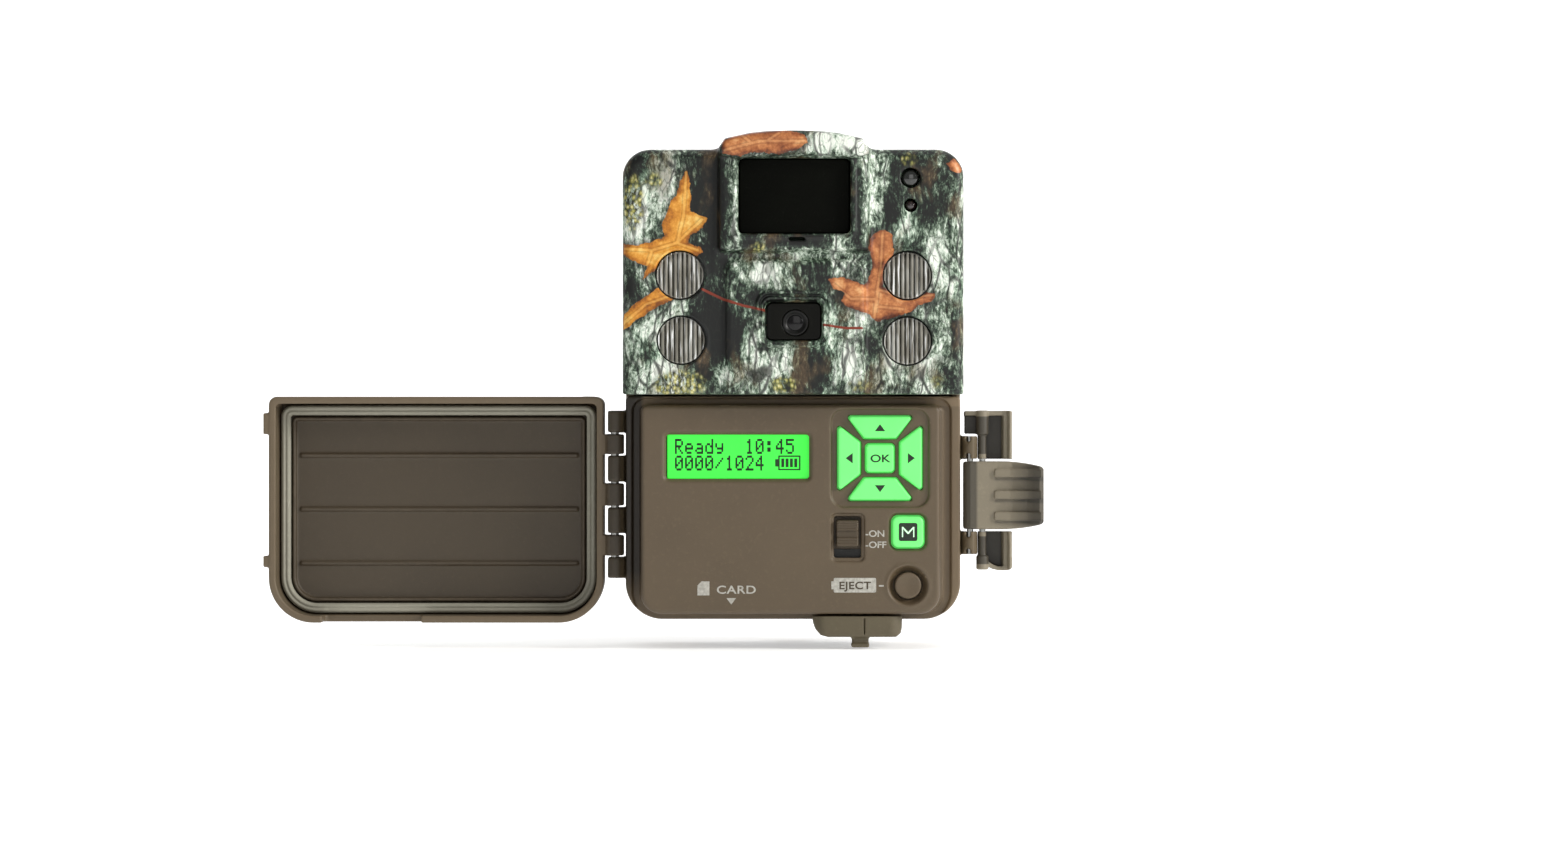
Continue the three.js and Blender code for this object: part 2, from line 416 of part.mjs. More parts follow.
// ================================================================ door, drawn closed and swung open
const swing = new THREE.Group();
swing.position.set(HINGE.x, HINGE.y, 0);
swing.rotation.z = -THREE.MathUtils.degToRad(DOOR_OPEN_DEG);
body.add(swing);
const leaf = new THREE.Group();
leaf.position.set(-HINGE.x, -HINGE.y, 0);
swing.add(leaf);
{
  const x0 = -40.7, x1 = 41.2, z0 = -0.9, z1 = 54.4, rim = -46.35, t = 1.7;
  let s = alongY(rrect(x0, x1, z0, z1, [11, 11, 2, 2], 6), Y_FACE, rim);
  s = cut(s, alongY(rrect(x0 + t, x1 - t, z0 + t, z1 - t, [9.3, 9.3, 1, 1], 6), Y_FACE + 2, rim + 1));
  // opening in the lower edge that clears the socket cover
  s = cut(s, box(3.9, 28.2, -52.9, -45, -2, 1.2));
  // keepers for the hooks
  for (const [a, b] of [[12.7, 15.5], [45.2, 50.4]]) s = join(s, alongZ(poly([41.0, -46.5], [42.6, -46.5], [42.6, -47.9], [42.0, -48.0], [41.0, -49.2]), a, b));
  // hinge knuckles
  for (const [a, b] of [[15.6, 20.6], [27.8, 33.2], [40.4, 45.2]]) {
    const arm = poly([-40.2, -52.4], [-40.2, -46.6], [-41.2, -46.5], [-41.25, -45.4], [-42.0, -44.3], [-43.5, -43.75], [-44.9, -44.3], [-45.8, -46.0], [-45.2, -47.5], [-41.4, -52.4]);
    s = join(s, alongZ(arm, a, b));
  }
  s = cut(s, rodZ(HINGE.x, HINGE.y, HINGE.bore, 9, 52, 16));
  put('door', s, BROWN, leaf);
  const gx0 = x0 + t + 0.35, gx1 = x1 - t - 0.35, gz0 = z0 + t + 0.4, gz1 = z1 - t - 0.4, w = 2.5;
  let ring = alongY(rrect(gx0, gx1, gz0, gz1, [8.9, 8.9, 1, 1], 5), -56.2, -53.4);
  ring = cut(ring, alongY(rrect(gx0 + w, gx1 - w, gz0 + w, gz1 - w, [6.4, 6.4, 0.8, 0.8], 5), -58, -50));
  put('door_gasket', ring, RUBBER, leaf);
}
put('hinge_pin', rodZ(HINGE.x, HINGE.y, HINGE.pin, 10.3, 50.7, 12), STEEL);

// ================================================================ latch
{
  const { x, y } = LEVER_AXIS;
  const px = x + LINK_OFFSET;
  // lever seen from above; its tip flares forward for the finger
  const back = [[px + 4, y + 1.5], [54, y + 0.9], [58, y - 0.8], [61.6, y - 4.2]];
  const front = [[60.6, y - 6.0], [57, y - 3.4], [53, y - 1.9], [48, y - 1.7]];
  const outline = poly([x, y - 1.8], [x - 1.3, y - 1.3], [x - 1.8, y], [x - 1.3, y + 1.3], [x, y + 1.8], [px, y + 1.8], ...back, ...front);
  let lever = alongZ(outline, 21.9, 38.7);
  for (const z of [23.5, 29.9, 35.2]) lever = join(lever, alongZ(poly([53.6, y - 1.6], [57, y - 2.9], [60.2, y - 5.2], [59.6, y - 6.2], [56.6, y - 4.2], [53.4, y - 2.7]), z, z + 2.2));
  lever = cut(lever, rodZ(x, y, 1.1, 20, 40, 14), rodZ(px, y, 1.1, 20, 40, 14));
  put('latch_lever', lever, BROWN);
  put('lever_pin', rodZ(x, y, 0.8, 15.9, 44.7, 10), STEEL);
  put('link_pin', rodZ(px, y, 0.8, 12.6, 50.5, 10), STEEL);
  // two hooks on the second pin, one above and one below the lever
  const plate = poly([px - 1.2, y + 3.6], [px - 1.2, y + 2.2], [px + 5.9, y + 2.2], [px + 5.9, y - 1.4], [px + 7.1, y - 1.8], [px + 7.3, y - 1.2], [px + 7.3, y + 3.0], [px + 6.6, y + 3.6]);
  const eye = poly([px - 1.5, y + 0.2], [px - 1.2, y - 1.0], [px, y - 1.5], [px + 1.2, y - 1.0], [px + 1.5, y + 0.2], [px + 1.5, y + 2.6], [px - 1.2, y + 2.6]);
  for (const [name, a, b, c, d] of [['latch_hook_upper', 39.1, 50.9, 45.1, 50.9], ['latch_hook_lower', 12.2, 21.5, 12.2, 15.5]]) {
    let hook = join(alongZ(plate, a, b), alongZ(eye, c, d));
    hook = cut(hook, rodZ(px, y, 1.1, a - 1, b + 1, 14));
    put(name, hook, BROWN);
  }
}

export default group;
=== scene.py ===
import json
import math
import bpy
import numpy as np
from mathutils import Vector, Matrix

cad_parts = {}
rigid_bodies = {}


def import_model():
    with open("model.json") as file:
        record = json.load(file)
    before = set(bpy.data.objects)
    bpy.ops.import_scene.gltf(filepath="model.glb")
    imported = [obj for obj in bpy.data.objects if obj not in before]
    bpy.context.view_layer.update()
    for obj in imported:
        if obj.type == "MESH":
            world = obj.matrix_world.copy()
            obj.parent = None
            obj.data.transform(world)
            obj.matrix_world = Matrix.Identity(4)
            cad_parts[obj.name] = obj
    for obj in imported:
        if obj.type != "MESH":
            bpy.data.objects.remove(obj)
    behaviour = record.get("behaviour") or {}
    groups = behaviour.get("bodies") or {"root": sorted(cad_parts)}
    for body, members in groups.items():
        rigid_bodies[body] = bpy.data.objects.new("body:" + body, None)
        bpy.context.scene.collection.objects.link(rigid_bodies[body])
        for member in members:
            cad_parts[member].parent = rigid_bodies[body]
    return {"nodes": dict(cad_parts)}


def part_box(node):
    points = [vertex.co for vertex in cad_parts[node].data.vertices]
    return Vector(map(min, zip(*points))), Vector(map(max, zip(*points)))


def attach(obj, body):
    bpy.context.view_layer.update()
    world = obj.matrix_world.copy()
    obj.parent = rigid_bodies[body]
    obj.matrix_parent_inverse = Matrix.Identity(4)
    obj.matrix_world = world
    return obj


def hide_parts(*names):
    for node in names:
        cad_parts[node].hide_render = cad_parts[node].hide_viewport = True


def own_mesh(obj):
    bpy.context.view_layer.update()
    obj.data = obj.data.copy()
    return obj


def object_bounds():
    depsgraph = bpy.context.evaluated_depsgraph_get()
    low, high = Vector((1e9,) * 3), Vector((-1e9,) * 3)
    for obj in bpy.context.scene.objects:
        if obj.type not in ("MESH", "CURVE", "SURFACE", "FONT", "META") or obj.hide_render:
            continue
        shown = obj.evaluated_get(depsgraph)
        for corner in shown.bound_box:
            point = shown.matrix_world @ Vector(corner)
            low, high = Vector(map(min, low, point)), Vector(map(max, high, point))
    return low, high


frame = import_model()
CAD_BOX = [list(v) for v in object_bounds()]
Q = 1.0
DROP = 57.0            # the housing's bottom lies this far below the origin, in mm
F32 = np.float32
rng = np.random.RandomState(7)


def srgb(r, g, b, k=1.0):
    """Linear colour of an 8-bit display colour."""
    def one(c):
        c = c / 255.0
        return (c / 12.92 if c <= 0.04045 else ((c + 0.055) / 1.055) ** 2.4) * k
    return (one(r), one(g), one(b), 1.0)


# ---------------------------------------------------------------- distance fields, in mm
class Grid:
    """Samples of a box of space. y runs from the front (low) to the back."""
    def __init__(self, x0, x1, y0, y1, z0, z1, h):
        h = h * Q
        m = 2.5 * h
        self.h = h
        self.ax = [np.arange(a - m, b + m + h, h, dtype=F32) for a, b in ((x0, x1), (y0, y1), (z0, z1))]
        self.x = self.ax[0][:, None, None]
        self.y = self.ax[1][None, :, None]
        self.z = self.ax[2][None, None, :]


def rr(x, z, x0, x1, z0, z1, r):
    """Rounded rectangle; radii as one number or (low left, low right, high right, high left)."""
    px, pz = x - (x0 + x1) / 2, z - (z0 + z1) / 2
    if isinstance(r, (int, float)):
        R = F32(r)
    else:
        R = np.where(px < 0, np.where(pz < 0, r[0], r[3]), np.where(pz < 0, r[1], r[2])).astype(F32)
    qx, qz = np.abs(px) - (x1 - x0) / 2 + R, np.abs(pz) - (z1 - z0) / 2 + R
    return (np.minimum(np.maximum(qx, qz), 0) + np.hypot(np.maximum(qx, 0), np.maximum(qz, 0)) - R).astype(F32)


def circ(x, z, cx, cz, r):
    return (np.hypot(x - cx, z - cz) - r).astype(F32)


def pol(x, z, pts, r=0.0):
    """Polygon, its corners rounded outwards by r."""
    x, z = np.broadcast_arrays(x, z)
    d = np.full(x.shape, 1e9, F32)
    s = np.ones(x.shape, F32)
    n = len(pts)
    for i in range(n):
        (ax, az), (bx, bz) = pts[i], pts[i - 1]
        ex, ez = bx - ax, bz - az
        wx, wz = x - ax, z - az
        t = np.clip((wx * ex + wz * ez) / (ex * ex + ez * ez), 0, 1)
        d = np.minimum(d, (wx - ex * t) ** 2 + (wz - ez * t) ** 2)
        c1, c2, c3 = z >= az, z < bz, ex * wz > ez * wx
        s = np.where((c1 & c2 & c3) | (~c1 & ~c2 & ~c3), -s, s)
    return (s * np.sqrt(d) - r).astype(F32)


def ext(d2, t, lo, hi, r0=0.0, r1=0.0):
    """Outline d2 pushed along coordinate t from lo to hi, edges rounded by r0 at lo and r1 at hi."""
    c, hh = (lo + hi) / 2, (hi - lo) / 2
    r = np.where(t < c, F32(r0), F32(r1))
    wx, wy = d2 + r, np.abs(t - c) - F32(hh) + r
    return (np.minimum(np.maximum(wx, wy), 0) + np.hypot(np.maximum(wx, 0), np.maximum(wy, 0)) - r).astype(F32)


def smin(a, b, k):
    h = np.maximum(k - np.abs(a - b), 0) / k
    return np.minimum(a, b) - h * h * (k * 0.25)


def cut(a, b, k=0.0):
    return -smin(-a, b, k) if k else np.maximum(a, -b)


def nets(F, g):
    """Surface nets: one vertex in each cell that the surface crosses."""
    s = F < 0
    c = [s[i:F.shape[0] - 1 + i, j:F.shape[1] - 1 + j, k:F.shape[2] - 1 + k] for i in (0, 1) for j in (0, 1) for k in (0, 1)]
    a, o = c[0].copy(), c[0].copy()
    for q in c[1:]:
        a &= q
        o |= q
    ijk = np.argwhere(o & ~a)
    I, J, K = ijk.T
    val = np.stack([F[I + i, J + j, K + k] for i in (0, 1) for j in (0, 1) for k in (0, 1)], 1)
    off = np.array([(i, j, k) for i in (0, 1) for j in (0, 1) for k in (0, 1)], F32)
    acc, cnt = np.zeros((len(ijk), 3), F32), np.zeros(len(ijk), F32)
    for p in range(8):
        for q in range(p + 1, 8):
            if abs(off[p] - off[q]).sum() == 1:
                f0, f1 = val[:, p], val[:, q]
                m = (f0 < 0) != (f1 < 0)
                t = np.where(m, f0 / np.where(m, f0 - f1, 1), 0)[:, None]
                acc += np.where(m[:, None], off[p] + (off[q] - off[p]) * t, 0)
                cnt += m
    loc = acc / cnt[:, None]
    v = np.stack([g.ax[n][0] + g.h * (ijk[:, n] + loc[:, n]) for n in range(3)], 1)
    idx = np.full((F.shape[0] - 1, F.shape[1] - 1, F.shape[2] - 1), -1, np.int32)
    idx[I, J, K] = np.arange(len(ijk))
    quads = []
    for axis in range(3):
        u, w = (axis + 1) % 3, (axis + 2) % 3
        lo = [slice(1, n - 1) for n in F.shape]
        lo[axis] = slice(0, F.shape[axis] - 1)
        hi = list(lo)
        hi[axis] = slice(1, F.shape[axis])
        s0, s1 = s[tuple(lo)], s[tuple(hi)]
        e = np.argwhere(s0 != s1)
        inside_first = s0[tuple(e.T)]
        base = e.copy()
        for n in range(3):
            if n != axis:
                base[:, n] += 1
        def cell(du, dw):
            b = base.copy()
            b[:, u] += du
            b[:, w] += dw
            return idx[b[:, 0], b[:, 1], b[:, 2]]
        quad = np.stack([cell(-1, -1), cell(0, -1), cell(0, 0), cell(-1, 0)], 1)
        quad[~inside_first] = quad[~inside_first][:, ::-1]
        quads.append(quad)
    return v, np.concatenate(quads)


def place(v, swing=False):
    """mm above the housing's bottom, to metres in the shared frame. swing turns the closed door open."""
    v = np.array(v, float).copy()
    if swing:
        v[:, 0], v[:, 1] = -87.0 - v[:, 0], -92.0 - v[:, 1]
    v[:, 2] -= DROP
    return v / 1000.0


def mesh_of(name, v, faces, smooth=True):
    """Mesh object from points in metres and faces of one size (an array) or any size (a list)."""
    me = bpy.data.meshes.new(name)
    if isinstance(faces, np.ndarray):
        n, k = faces.shape
        me.vertices.add(len(v))
        me.vertices.foreach_set("co", np.asarray(v, F32).ravel())
        me.loops.add(n * k)
        me.loops.foreach_set("vertex_index", faces.astype(np.int32).ravel())
        me.polygons.add(n)
        me.polygons.foreach_set("loop_start", np.arange(0, n * k, k, dtype=np.int32))
        me.update(calc_edges=True)
        me.validate()
    else:
        me.from_pydata([tuple(p) for p in v], [], faces)
        me.update()
    me.polygons.foreach_set("use_smooth", [smooth] * len(me.polygons))
    o = bpy.data.objects.new(name, me)
    bpy.context.scene.collection.objects.link(o)
    return o


def dress(o, mat, body, replaces=()):
    o.data.materials.clear()
    for m in (mat if isinstance(mat, (list, tuple)) else [mat]):
        o.data.materials.append(m)
    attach(o, body)
    if replaces:
        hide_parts(*replaces)
    return o


def shell(name, F, g, mat, body, replaces=(), swing=False):
    v, q = nets(F, g)
    o = mesh_of(name, place(v, swing), q)
    return dress(o, mat, body, replaces)


def value_attr(o, name, values):
    a = o.data.attributes.new(name, "FLOAT", "POINT")
    a.data.foreach_set("value", np.asarray(values, F32))


# ---------------------------------------------------------------- materials
def material(name, color, rough=0.5, metal=0.0, **sockets):
    m = bpy.data.materials.new(name)
    m.use_nodes = True
    b = m.node_tree.nodes["Principled BSDF"]
    b.inputs["Base Color"].default_value = color
    b.inputs["Roughness"].default_value = rough
    b.inputs["Metallic"].default_value = metal
    for k, val in sockets.items():
        b.inputs[k.replace("_", " ")].default_value = val
    return m, m.node_tree, b


class Net:
    """Short hand for shader nodes."""
    def __init__(self, tree):
        self.t = tree
        self.geo = tree.nodes.new("ShaderNodeTexCoord").outputs["Object"]

    def n(self, kind, **props):
        node = self.t.nodes.new(kind)
        for k, v in props.items():
            setattr(node, k, v)
        return node

    def to(self, a, b):
        self.t.links.new(a, b)

    def map(self, scale, loc=(0, 0, 0), rot=(0, 0, 0), src=None):
        m = self.n("ShaderNodeMapping")
        m.inputs["Scale"].default_value = scale
        m.inputs["Location"].default_value = loc
        m.inputs["Rotation"].default_value = rot
        self.to(src or self.geo, m.inputs["Vector"])
        return m.outputs["Vector"]

    def noise(self, scale, detail=4, rough=0.55, vec=None, distortion=0.0, out="Fac"):
        m = self.n("ShaderNodeTexNoise")
        m.inputs["Scale"].default_value = scale
        m.inputs["Detail"].default_value = detail
        m.inputs["Roughness"].default_value = rough
        m.inputs["Distortion"].default_value = distortion
        self.to(vec or self.geo, m.inputs["Vector"])
        return m.outputs[out]

    def voronoi(self, scale, vec=None, feature="F1", out="Distance", rand=1.0):
        m = self.n("ShaderNodeTexVoronoi", feature=feature)
        m.inputs["Scale"].default_value = scale
        m.inputs["Randomness"].default_value = rand
        self.to(vec or self.geo, m.inputs["Vector"])
        return m.outputs[out]

    def ramp(self, fac, stops, mode="LINEAR"):
        m = self.n("ShaderNodeValToRGB")
        m.color_ramp.interpolation = mode
        e = m.color_ramp.elements
        while len(e) > 1:
            e.remove(e[-1])
        e[0].position, e[0].color = stops[0]
        for p, c in stops[1:]:
            k = e.new(p)
            k.color = c
        self.to(fac, m.inputs["Fac"])
        return m.outputs["Color"]

    def mask(self, fac, lo, hi):
        """0 below lo, 1 above hi."""
        m = self.n("ShaderNodeMapRange")
        m.interpolation_type = "SMOOTHSTEP"
        for k, v in (("From Min", lo), ("From Max", hi)):
            m.inputs[k].default_value = v
        self.to(fac, m.inputs["Value"])
        return m.outputs["Result"]

    def mix(self, fac, a, b, mode="MIX"):
        m = self.n("ShaderNodeMix", data_type="RGBA", blend_type=mode)
        for sock, val in ((m.inputs["Factor"], fac), (m.inputs[6], a), (m.inputs[7], b)):
            if isinstance(val, (int, float, tuple)):
                sock.default_value = val
            else:
                self.to(val, sock)
        return m.outputs[2]

    def math(self, op, a, b=None, c=None):
        m = self.n("ShaderNodeMath", operation=op)
        for i, val in enumerate((a, b, c)):
            if val is None:
                continue
            if isinstance(val, (int, float)):
                m.inputs[i].default_value = val
            else:
                self.to(val, m.inputs[i])
        return m.outputs[0]

    def attr(self, name):
        m = self.n("ShaderNodeAttribute", attribute_name=name)
        return m.outputs["Fac"]

    def bump(self, height, strength, distance, bsdf, normal=None):
        m = self.n("ShaderNodeBump")
        m.inputs["Strength"].default_value = strength
        m.inputs["Distance"].default_value = distance
        self.to(height, m.inputs["Height"])
        if normal is not None:
            self.to(normal, m.inputs["Normal"])
        self.to(m.outputs["Normal"], bsdf.inputs["Normal"])
        return m.outputs["Normal"]


def moulded(name, rgb, rough=0.5, grain=1.0, vary=0.16, texture=2600, wear=True, **sockets):
    """Injection moulded plastic: fine spark texture, soft mottling, small lighter specks and rubbed edges; two point
    attributes paint light (lighter colour) and shade (darker colour) onto it.
    """
    base = srgb(*rgb)
    m, t, b = material(name, base, rough, 0.0, **sockets)
    N = Net(t)
    soft = N.noise(38, 4, 0.6)
    fine = N.noise(texture, 2, 0.5)
    speck = N.noise(900, 3, 0.6)
    dark = tuple(c * (1 - vary) for c in base[:3]) + (1,)
    light = tuple(min(1, c * (1 + vary)) for c in base[:3]) + (1,)
    col = N.ramp(soft, [(0.3, dark), (0.5, base), (0.72, light)])
    col = N.mix(N.mask(speck, 0.52, 0.75), col, tuple(min(1, c * 1.12) for c in base[:3]) + (1,))
    # painted light: this attribute lifts the colour where light falls strongly
    col = N.mix(N.attr("painted_light"), col, tuple(min(1, c * 2.0 + 0.01) for c in base[:3]) + (1,))
    if wear:
        point = N.n("ShaderNodeNewGeometry").outputs["Pointiness"]
        edge = N.math("MULTIPLY", N.mask(point, 0.515, 0.60), N.mask(N.noise(260, 3), 0.35, 0.7))
        col = N.mix(edge, col, tuple(min(1, c * 1.7 + 0.01) for c in base[:3]) + (1,))
    # painted shade: the shade attribute darkens the colour where shadow falls
    col = N.mix(N.attr("shade"), col, tuple(c * 0.16 for c in base[:3]) + (1,))
    N.to(col, b.inputs["Base Color"])
    r = N.n("ShaderNodeMapRange")
    r.inputs["To Min"].default_value = rough - 0.09
    r.inputs["To Max"].default_value = rough + 0.12
    N.to(N.math("ADD", N.math("MULTIPLY", soft, 0.5), N.math("MULTIPLY", fine, 0.5)), r.inputs["Value"])
    N.to(r.outputs["Result"], b.inputs["Roughness"])
    N.bump(N.math("ADD", fine, N.math("MULTIPLY", speck, 0.8)), 0.35 * grain, 0.00006, b)
    return m


BROWN = moulded("brown_moulded", (91, 77, 58), 0.46, vary=0.08)
BROWN_DEEP = moulded("dark_brown_moulded", (72, 60, 43), 0.5, vary=0.10)
BROWN_DOOR = moulded("door_moulded", (92, 79, 60), 0.5, vary=0.09)
RUBBER = moulded("seal_rubber", (154, 151, 136), 0.68, grain=0.6, vary=0.1, texture=1500, wear=False)
BOOT = moulded("boot_rubber", (92, 83, 63), 0.6, grain=0.6, vary=0.1, texture=1500)
BLACKP = moulded("black_moulded", (26, 25, 22), 0.42, vary=0.2)
TRAYP = moulded("tray_moulded", (40, 38, 33), 0.5, vary=0.15)


def metal(name, rgb, rough=0.28, stretch=(40, 40, 1400)):
    m, t, b = material(name, srgb(*rgb), rough, 1.0)
    N = Net(t)
    line = N.noise(1.0, 3, 0.6, vec=N.map(stretch))
    base = srgb(*rgb)
    N.to(N.ramp(line, [(0.3, tuple(c * 0.72 for c in base[:3]) + (1,)), (0.7, base)]), b.inputs["Base Color"])
    r = N.n("ShaderNodeMapRange")
    r.inputs["To Min"].default_value = rough - 0.08
    r.inputs["To Max"].default_value = rough + 0.16
    N.to(line, r.inputs["Value"])
    N.to(r.outputs["Result"], b.inputs["Roughness"])
    N.bump(line, 0.15, 0.00003, b)
    return m


STEEL = metal("bright_steel", (186, 186, 182))
BRASS = metal("turned_brass", (190, 152, 84), 0.3)


# ---------------------------------------------------------------- camouflage
# Leaf outlines on the front, in mm across and above the housing's bottom. Each is a closed outline
# with its mid rib; the shader turns the distance to them into crisp edges.
def leaf(cx, cz, size, turn, lobes, seed):
    """An oak leaf of the given number of lobes a side: outline points and rib points."""
    r = np.random.RandomState(seed)
    pts, n = [], lobes * 2 + 1
    half = []
    for i in range(n + 1):
        t = i / n
        wide = math.sin(math.pi * min(1, t * 0.92 + 0.06)) ** 0.7
        deep = 0.92 if i % 2 else 0.30
        w = size * 0.46 * wide * deep * (0.85 + 0.3 * r.rand())
        lift = 0.10 * size if i % 2 else 0.0
        half.append((w, size * (t - 0.5) + lift))
    half.append((0.0, size * 0.56))
    left = [(-w * (0.85 + 0.3 * r.rand()), z) for w, z in half]
    pts = half + left[::-1][1:]
    c, s = math.cos(turn), math.sin(turn)
    out = [(cx + c * x - s * z, cz + s * x + c * z) for x, z in pts]
    rib = [(cx + s * size * 0.9, cz - c * size * 0.9), (cx + s * size * 0.5, cz - c * size * 0.5), (cx - s * size * 0.5, cz + c * size * 0.5)]
    return out, rib


ORANGE = [
    # tall leaf at the left, with its spike and side lobes
    [(-25.8, 109.3), (-24.9, 106.0), (-24.4, 102.5), (-24.9, 99.0), (-23.0, 98.2), (-20.4, 97.4), (-22.0, 95.0), (-24.6, 93.2), (-25.6, 91.0), (-22.4, 90.6),
     (-21.6, 89.2), (-24.0, 87.8), (-27.2, 88.6), (-30.0, 87.6), (-33.6, 84.6), (-36.2, 82.6), (-35.2, 85.6), (-38.2, 87.0), (-41.6, 88.6), (-41.6, 91.4),
     (-38.0, 90.8), (-34.2, 91.6), (-31.0, 93.0), (-31.8, 95.6), (-30.4, 98.8), (-29.6, 101.6), (-28.2, 102.8), (-27.4, 106.0)],
    # its lower half, across the left edge
    [(-24.2, 78.6), (-27.4, 78.2), (-30.8, 77.0), (-33.6, 75.4), (-36.6, 73.4), (-39.2, 71.6), (-41.7, 69.8), (-41.7, 73.2), (-39.6, 75.2), (-37.8, 77.0),
     (-35.0, 78.8), (-33.0, 80.4), (-30.6, 80.0), (-27.0, 80.2)],
]
RUST = [
    # leaf at the right, three lobes
    [(19.4, 93.8), (22.0, 94.6), (24.0, 93.0), (24.2, 89.6), (23.6, 86.4), (22.2, 83.4), (21.4, 80.8), (24.6, 80.6), (28.0, 80.2), (31.6, 79.6), (34.6, 79.0),
     (33.2, 77.2), (30.4, 76.4), (28.6, 74.6), (25.4, 73.8), (22.6, 73.0), (20.2, 72.2), (18.6, 73.8), (15.8, 75.0), (13.0, 75.8), (11.4, 77.6), (12.8, 79.2),
     (9.8, 80.4), (8.4, 82.6), (11.6, 83.2), (14.8, 82.0), (17.2, 81.2), (18.6, 83.6), (19.0, 87.0), (18.2, 90.2)],
    # over the brow
    [(-17.0, 112.6), (-13.0, 112.0), (-8.4, 113.0), (-3.0, 112.4), (0.6, 113.6), (3.6, 115.2), (2.6, 117.4), (-2.0, 118.4), (-8.6, 118.2), (-14.0, 117.2), (-17.4, 115.6)],
    # scrap in the upper right corner
    [(37.0, 110.6), (38.8, 111.8), (40.6, 110.4), (41.4, 108.4), (39.6, 108.2), (38.0, 109.0)],
]
STEMS = [[(-21.9, 80.2), (-17.0, 77.8), (-12.0, 76.2), (-6.6, 75.0)], [(7.4, 71.6), (12.4, 70.8), (16.6, 70.8)]]
RIBS_O = [[(-41, 90.0), (-34.0, 89.6), (-28.0, 91.4), (-26.4, 98.0), (-25.8, 108.6)], [(-28.0, 91.4), (-22.0, 97.0)], [(-28.0, 91.4), (-23.0, 89.6)],
          [(-41.4, 71.6), (-35.4, 76.6), (-29.0, 78.8), (-24.4, 79.2)], [(-34.0, 89.6), (-36.0, 84.0)]]
RIBS_R = [[(21.6, 94.0), (21.2, 86.0), (20.4, 80.2), (19.6, 73.2)], [(20.4, 80.2), (27.0, 78.2), (33.6, 78.8)], [(20.2, 77.8), (14.0, 77.8), (9.6, 81.4)],
          [(20.2, 76.0), (26.4, 75.4)], [(-16.6, 113.4), (-8.0, 115.6), (3.0, 115.6)], [(-10, 115.2), (-12.6, 117.2)], [(-6.4, 115.6), (-3.4, 117.6)]]
# broad patches of the bark print: (x, z, half width, half height, strength). DARKS also holds one painted shadow, its
# first entry.
PALE = [(-31.5, 102, 3.2, 8, 1.0), (-35.5, 70, 4.5, 3.4, .8), (-13.4, 100, 2.0, 9, .55), (11.0, 115.6, 7.5, 2.6, 1.3), (-37.5, 99, 3.4, 7.5, 1.1), (-25.5, 57.5, 6.5, 3.2, 1.0), (16.2, 74, 2.6, 6, .9), (13.5, 62, 4.0, 5, .8), (23, 62, 5, 4, .6), (-10.5, 66, 2.6, 5.5, .7), (18.8, 103, 2.2, 9, .75), (28.0, 96, 3.5, 3.4, .7),
        (34.5, 90, 2.6, 8, .75), (-7.5, 84, 5.5, 3.0, .8), (4.5, 88.5, 6.5, 1.8, .7), (12.5, 90, 2.2, 5.0, .6), (8.6, 70, 3.4, 6, .7), (-2.6, 62, 4.4, 4.2, .8), (14.5, 62.6, 3.0, 3.6, .6),
        (32.6, 64, 4.4, 4.0, .7), (-31, 60.4, 5, 3.2, .7), (-16, 60, 3.4, 3.0, .7), (-35.4, 96, 2.0, 3.5, .7), (37.6, 76, 2.0, 9, .6), (-13.6, 76, 2.6, 5.4, .6), (23.6, 60.4, 2.8, 3.4, .6)]
# the first entry, the tall strip at x -19.2, is painted shadow cast by the sensor column onto the face to its left; the
# others are print
DARKS = [(-19.2, 101, 2.2, 13, 1.4), (-17.0, 69.5, 5.0, 5.0, 1.7), (-24.0, 100, 3.2, 9, .8), (-38.6, 108, 1.8, 5, .8), (30.6, 107, 4.4, 3.4, .8), (33.4, 100, 3.4, 4.0, .7), (0, 91.6, 12, 1.6, .7), (15.6, 97, 1.4, 10, .6),
         (-20.4, 88.4, 2.0, 5, .9), (24.4, 98.6, 1.8, 6, .8), (-21.6, 60.4, 2.4, 4.6, .9), (5.6, 61.4, 3.0, 3.8, .8), (19, 66.4, 2.6, 4.2, .7), (39, 68, 1.4, 9, .7), (-39.4, 80, 1.4, 3.2, .8),
         (10.8, 78.8, 1.8, 3.4, .6), (-9, 78.6, 3.0, 1.8, .6), (27, 72.6, 3.4, 2, .6), (-6.8, 66.4, 2.6, 2.4, .7)]
MOSS = [(-38.6, 101, 2.6, 7, 1.0), (-27.6, 57.2, 6.5, 3.6, 1.0), (-2.2, 57.2, 4.0, 2.4, .8), (-8.4, 90.2, 3.2, 2.0, .55), (28, 111.5, 3.0, 2.2, .6), (-33.6, 106.5, 3.4, 3.0, .6), (34.6, 58, 3, 3, .5), (16, 56.8, 5, 2.4, .5)]


def line_dist(x, z, lines):
    d = np.full(x.shape, 1e9)
    for pts in lines:
        for (ax, az), (bx, bz) in zip(pts, pts[1:]):
            ex, ez = bx - ax, bz - az
            t = np.clip(((x - ax) * ex + (z - az) * ez) / (ex * ex + ez * ez), 0, 1)
            d = np.minimum(d, np.hypot(x - ax - ex * t, z - az - ez * t))
    return d


